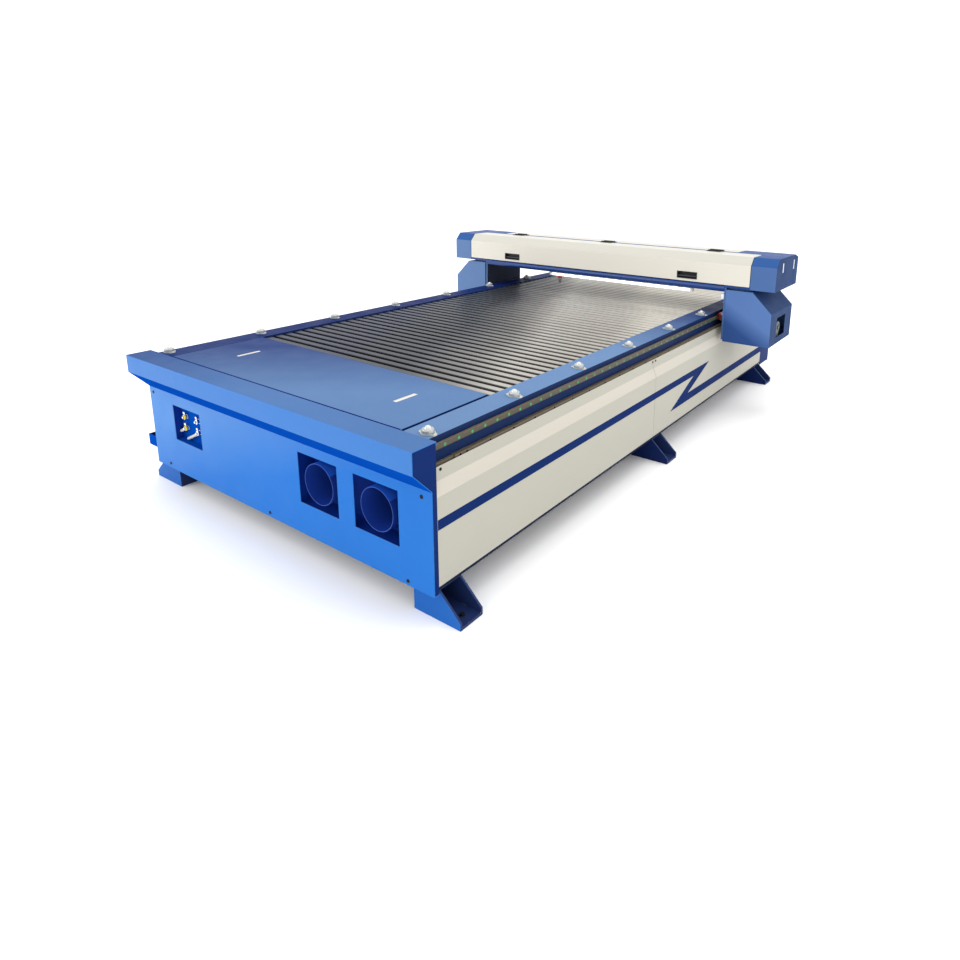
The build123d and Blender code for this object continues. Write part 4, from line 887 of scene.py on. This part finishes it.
for side, label in SIDES:
    x = side * plate_x
    disc = turned(label + "_motor_plate", (x, plate_y, plate_z), (side, 0, 0), disc_rings, 32)
    arm = bar(
        label + "_motor_plate_arm", (x - arm_half_wall, arm_front, arm_bottom),
        (x + arm_half_wall, arm_rear, arm_top),
    )
    shelf_x = sorted((side * (plate_x + arm_half_wall), side * shelf_inner))
    shelf = bar(
        label + "_motor_shelf", (shelf_x[0], arm_front, arm_bottom), (shelf_x[1], arm_rear, shelf_top),
    )
    for piece in (disc, arm, shelf):
        seat(piece, zinc_plate, "gantry")

# Gantry housing: blue end caps with a let-in access panel, a cream front cover, a blue strip on the top and a
# cream rear cover, on a square steel beam. The access panels lie a millimetre deep in their openings. The
# caps and the strip carry the legs' painted light and shade: darker copies of the blue on sides, tops and
# slopes.
# The covers' tops are a darker cream, as painted shade.
cap_edges = {"left_end_cap": 0.0012, "right_end_cap": 0.0012, "end_access_panels": 0.0008}
for name, edge_width in cap_edges.items():
    cap = dress(name, gantry_front_falloff_blue, edge_width=edge_width)
    # Painted shade: darker copies of the blue on the caps' sides, tops and slopes.
    shade_faces(cap, gantry_side_shade_blue, sideways)
    shade_faces(cap, gantry_top_shade_blue, upwards)
    shade_faces(cap, gantry_fold_shade_blue, lambda centre, normal: 0.3 < normal.z < 0.9)
panel_sunk = 0.001
access_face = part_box("end_access_panels")[1].x
cap.scale.x = 1 - panel_sunk / access_face
settle(cap)
dress("top_strip", gantry_top_shade_blue, edge_width=0.0008)
cover_cream = enamel("cover_enamel", linear(214, 210, 199), roughness=0.42, mottle=0.015, wear=0.1)
cover_top_shade = enamel("cover_top_enamel", linear(186, 183, 174), roughness=0.34, mottle=0.015, wear=0.1)
for name in ("front_cover", "rear_cover"):
    cover = dress(name, cover_cream, edge_width=0.0010)
    # Painted shade: a darker cream on the covers' faces that look up.
    shade_faces(cover, cover_top_shade, lambda centre, normal: normal.z > 0.3)
cover_with("gantry_beam", navy_blue)
lip_blue = enamel("lip_blue_enamel", linear(24, 60, 124), roughness=0.26, specular=0.4)
dress("lower_lip", lip_blue, edge_width=0.0008, crease=40)

# Access panel pulls: two white rounded plastic strips on each end of the gantry, glued to the panels. They
# stay inside the end caps' faces.
pull_white = plain_finish("pull_white", linear(206, 210, 216), 0.35, coat=0.1)
pull_places = (front_y + 2.367, front_y + 2.566)
pull_half_width, pull_bottom, pull_top = 0.007, 0.804, 0.856
pull_inner, pull_outer = access_face - 0.0020, access_face - 0.0002
for side, label in SIDES:
    pull_x = sorted((side * pull_inner, side * pull_outer))
    for number, y in enumerate(pull_places):
        low = (pull_x[0], y - pull_half_width, pull_bottom)
        high = (pull_x[1], y + pull_half_width, pull_top)
        pull = bar(f"{label}_panel_pull_{number + 1}", low, high, edge_width=0.0006)
        seat(pull, pull_white, "gantry")

# Handles: black moulded plastic cups with a thin rim, pressed into openings of the front cover, each with a
# round grey bar across its back for the fingers.
black_plastic = plain_finish("black_plastic", (0.012, 0.012, 0.014, 1), 0.42, grain=0.06)
grip_grey = plain_finish("grip_grey", linear(70, 70, 74), 0.4, grain=0.05)
dress("cover_handles", black_plastic, edge_width=0.0008)
handle_low, handle_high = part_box("cover_handles")
handle_half = 0.058
grip_radius, grip_length = 0.0040, 0.105
grip_y, grip_z = handle_low.y + 0.012, (handle_low.z + handle_high.z) / 2 - 0.006
for side, label in SIDES:
    grip_start = (side * (handle_high.x - handle_half) - grip_length / 2, grip_y, grip_z)
    grip = turned(label + "_handle_grip", grip_start, (1, 0, 0), [(grip_radius, grip_length)], 16)
    open_faces(grip, lambda centre, normal: abs(normal.x) > 0.9)
    bpy.ops.mesh.inset(thickness=0.001)
    close_mesh()
    seat(grip, grip_grey, "front_lid")

# Butterfly hinges: pressed and blackened steel, with a leaf screwed to each cover and a base on the top
# strip between them.
for name in ("hinge_bases", "front_hinge_leaves", "rear_hinge_leaves"):
    dress(name, black_steel, edge_width=0.0004)

# Lamp under the lip: a white plastic batten, screwed to the housing, with a glowing glass tube between two
# sockets. The limit switch beside it is moulded in the same white.
white_plastic = plain_finish("white_plastic", linear(232, 233, 232), 0.4, coat=0.1)
dress("lamp_batten", white_plastic, edge_width=0.001)
glow = plain_finish(
    "lamp_glow", (0.95, 0.97, 1.0, 1), 0.3, Emission_Color=(0.92, 0.96, 1.0, 1), Emission_Strength=3.0,
)
dress("lamp_tube", glow, edge_width=0.001, crease=60)
dress("limit_switch", white_plastic, edge_width=0.0015)

# Laser head: a milled aluminium carriage on its own steel guide, with a lens holder and a red anodised
# nozzle. A toothed rubber belt, on two pulleys, pulls it across.
milled = drawn("milled_aluminium", (0.62, 0.63, 0.65, 1), (40, 400, 400), roughness=0.32, dirt=0.2)
dress("head_rail", guide_steel, edge_width=0.0005)
for name in ("head_carriage", "lens_holder", "belt_pulley", "belt_idler"):
    dress(name, milled, edge_width=0.0006)
red_anodised = plain_finish("red_anodised", linear(206, 34, 24), 0.28, metallic=0.6)
nozzle = dress("focus_nozzle", red_anodised, edge_width=0.0006, crease=40)
nozzle_low, nozzle_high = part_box("focus_nozzle")
nozzle_waist = (nozzle_low.z + nozzle_high.z) / 2
shade_faces(nozzle, milled, lambda centre, normal: centre.z < nozzle_waist)
belt_rubber = plain_finish("belt_rubber", (0.02, 0.02, 0.02, 1), 0.65)
cover_with("drive_belt", belt_rubber)

# Laser tube: clear glass in two black moulded clamps, which are screwed to the back of the gantry's beam
# under the rear cover.
tube_glass = new_material(
    "tube_glass", Base_Color=(0.9, 0.95, 0.97, 1), Roughness=0.04, Transmission_Weight=0.9,
)
dress("laser_tube", tube_glass, edge_width=0.001, crease=60)
dress("tube_clamps", black_plastic, edge_width=0.001)

# Mains entry: a black rubber ring pressed into the hole of the rear panel, which keeps a lead from rubbing
# on the sheet's edge.
rear_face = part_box("rear_end_panel")[1].y
ring = turned(
    "inlet_ring", (0.560, rear_face - 0.0035, 0.180), (0, 1, 0),
    [(0.0136, 0.0033), (0.0104, 0.0), (0.0098, -0.0028)], 28,
)
seat(ring, black_plastic, "base")
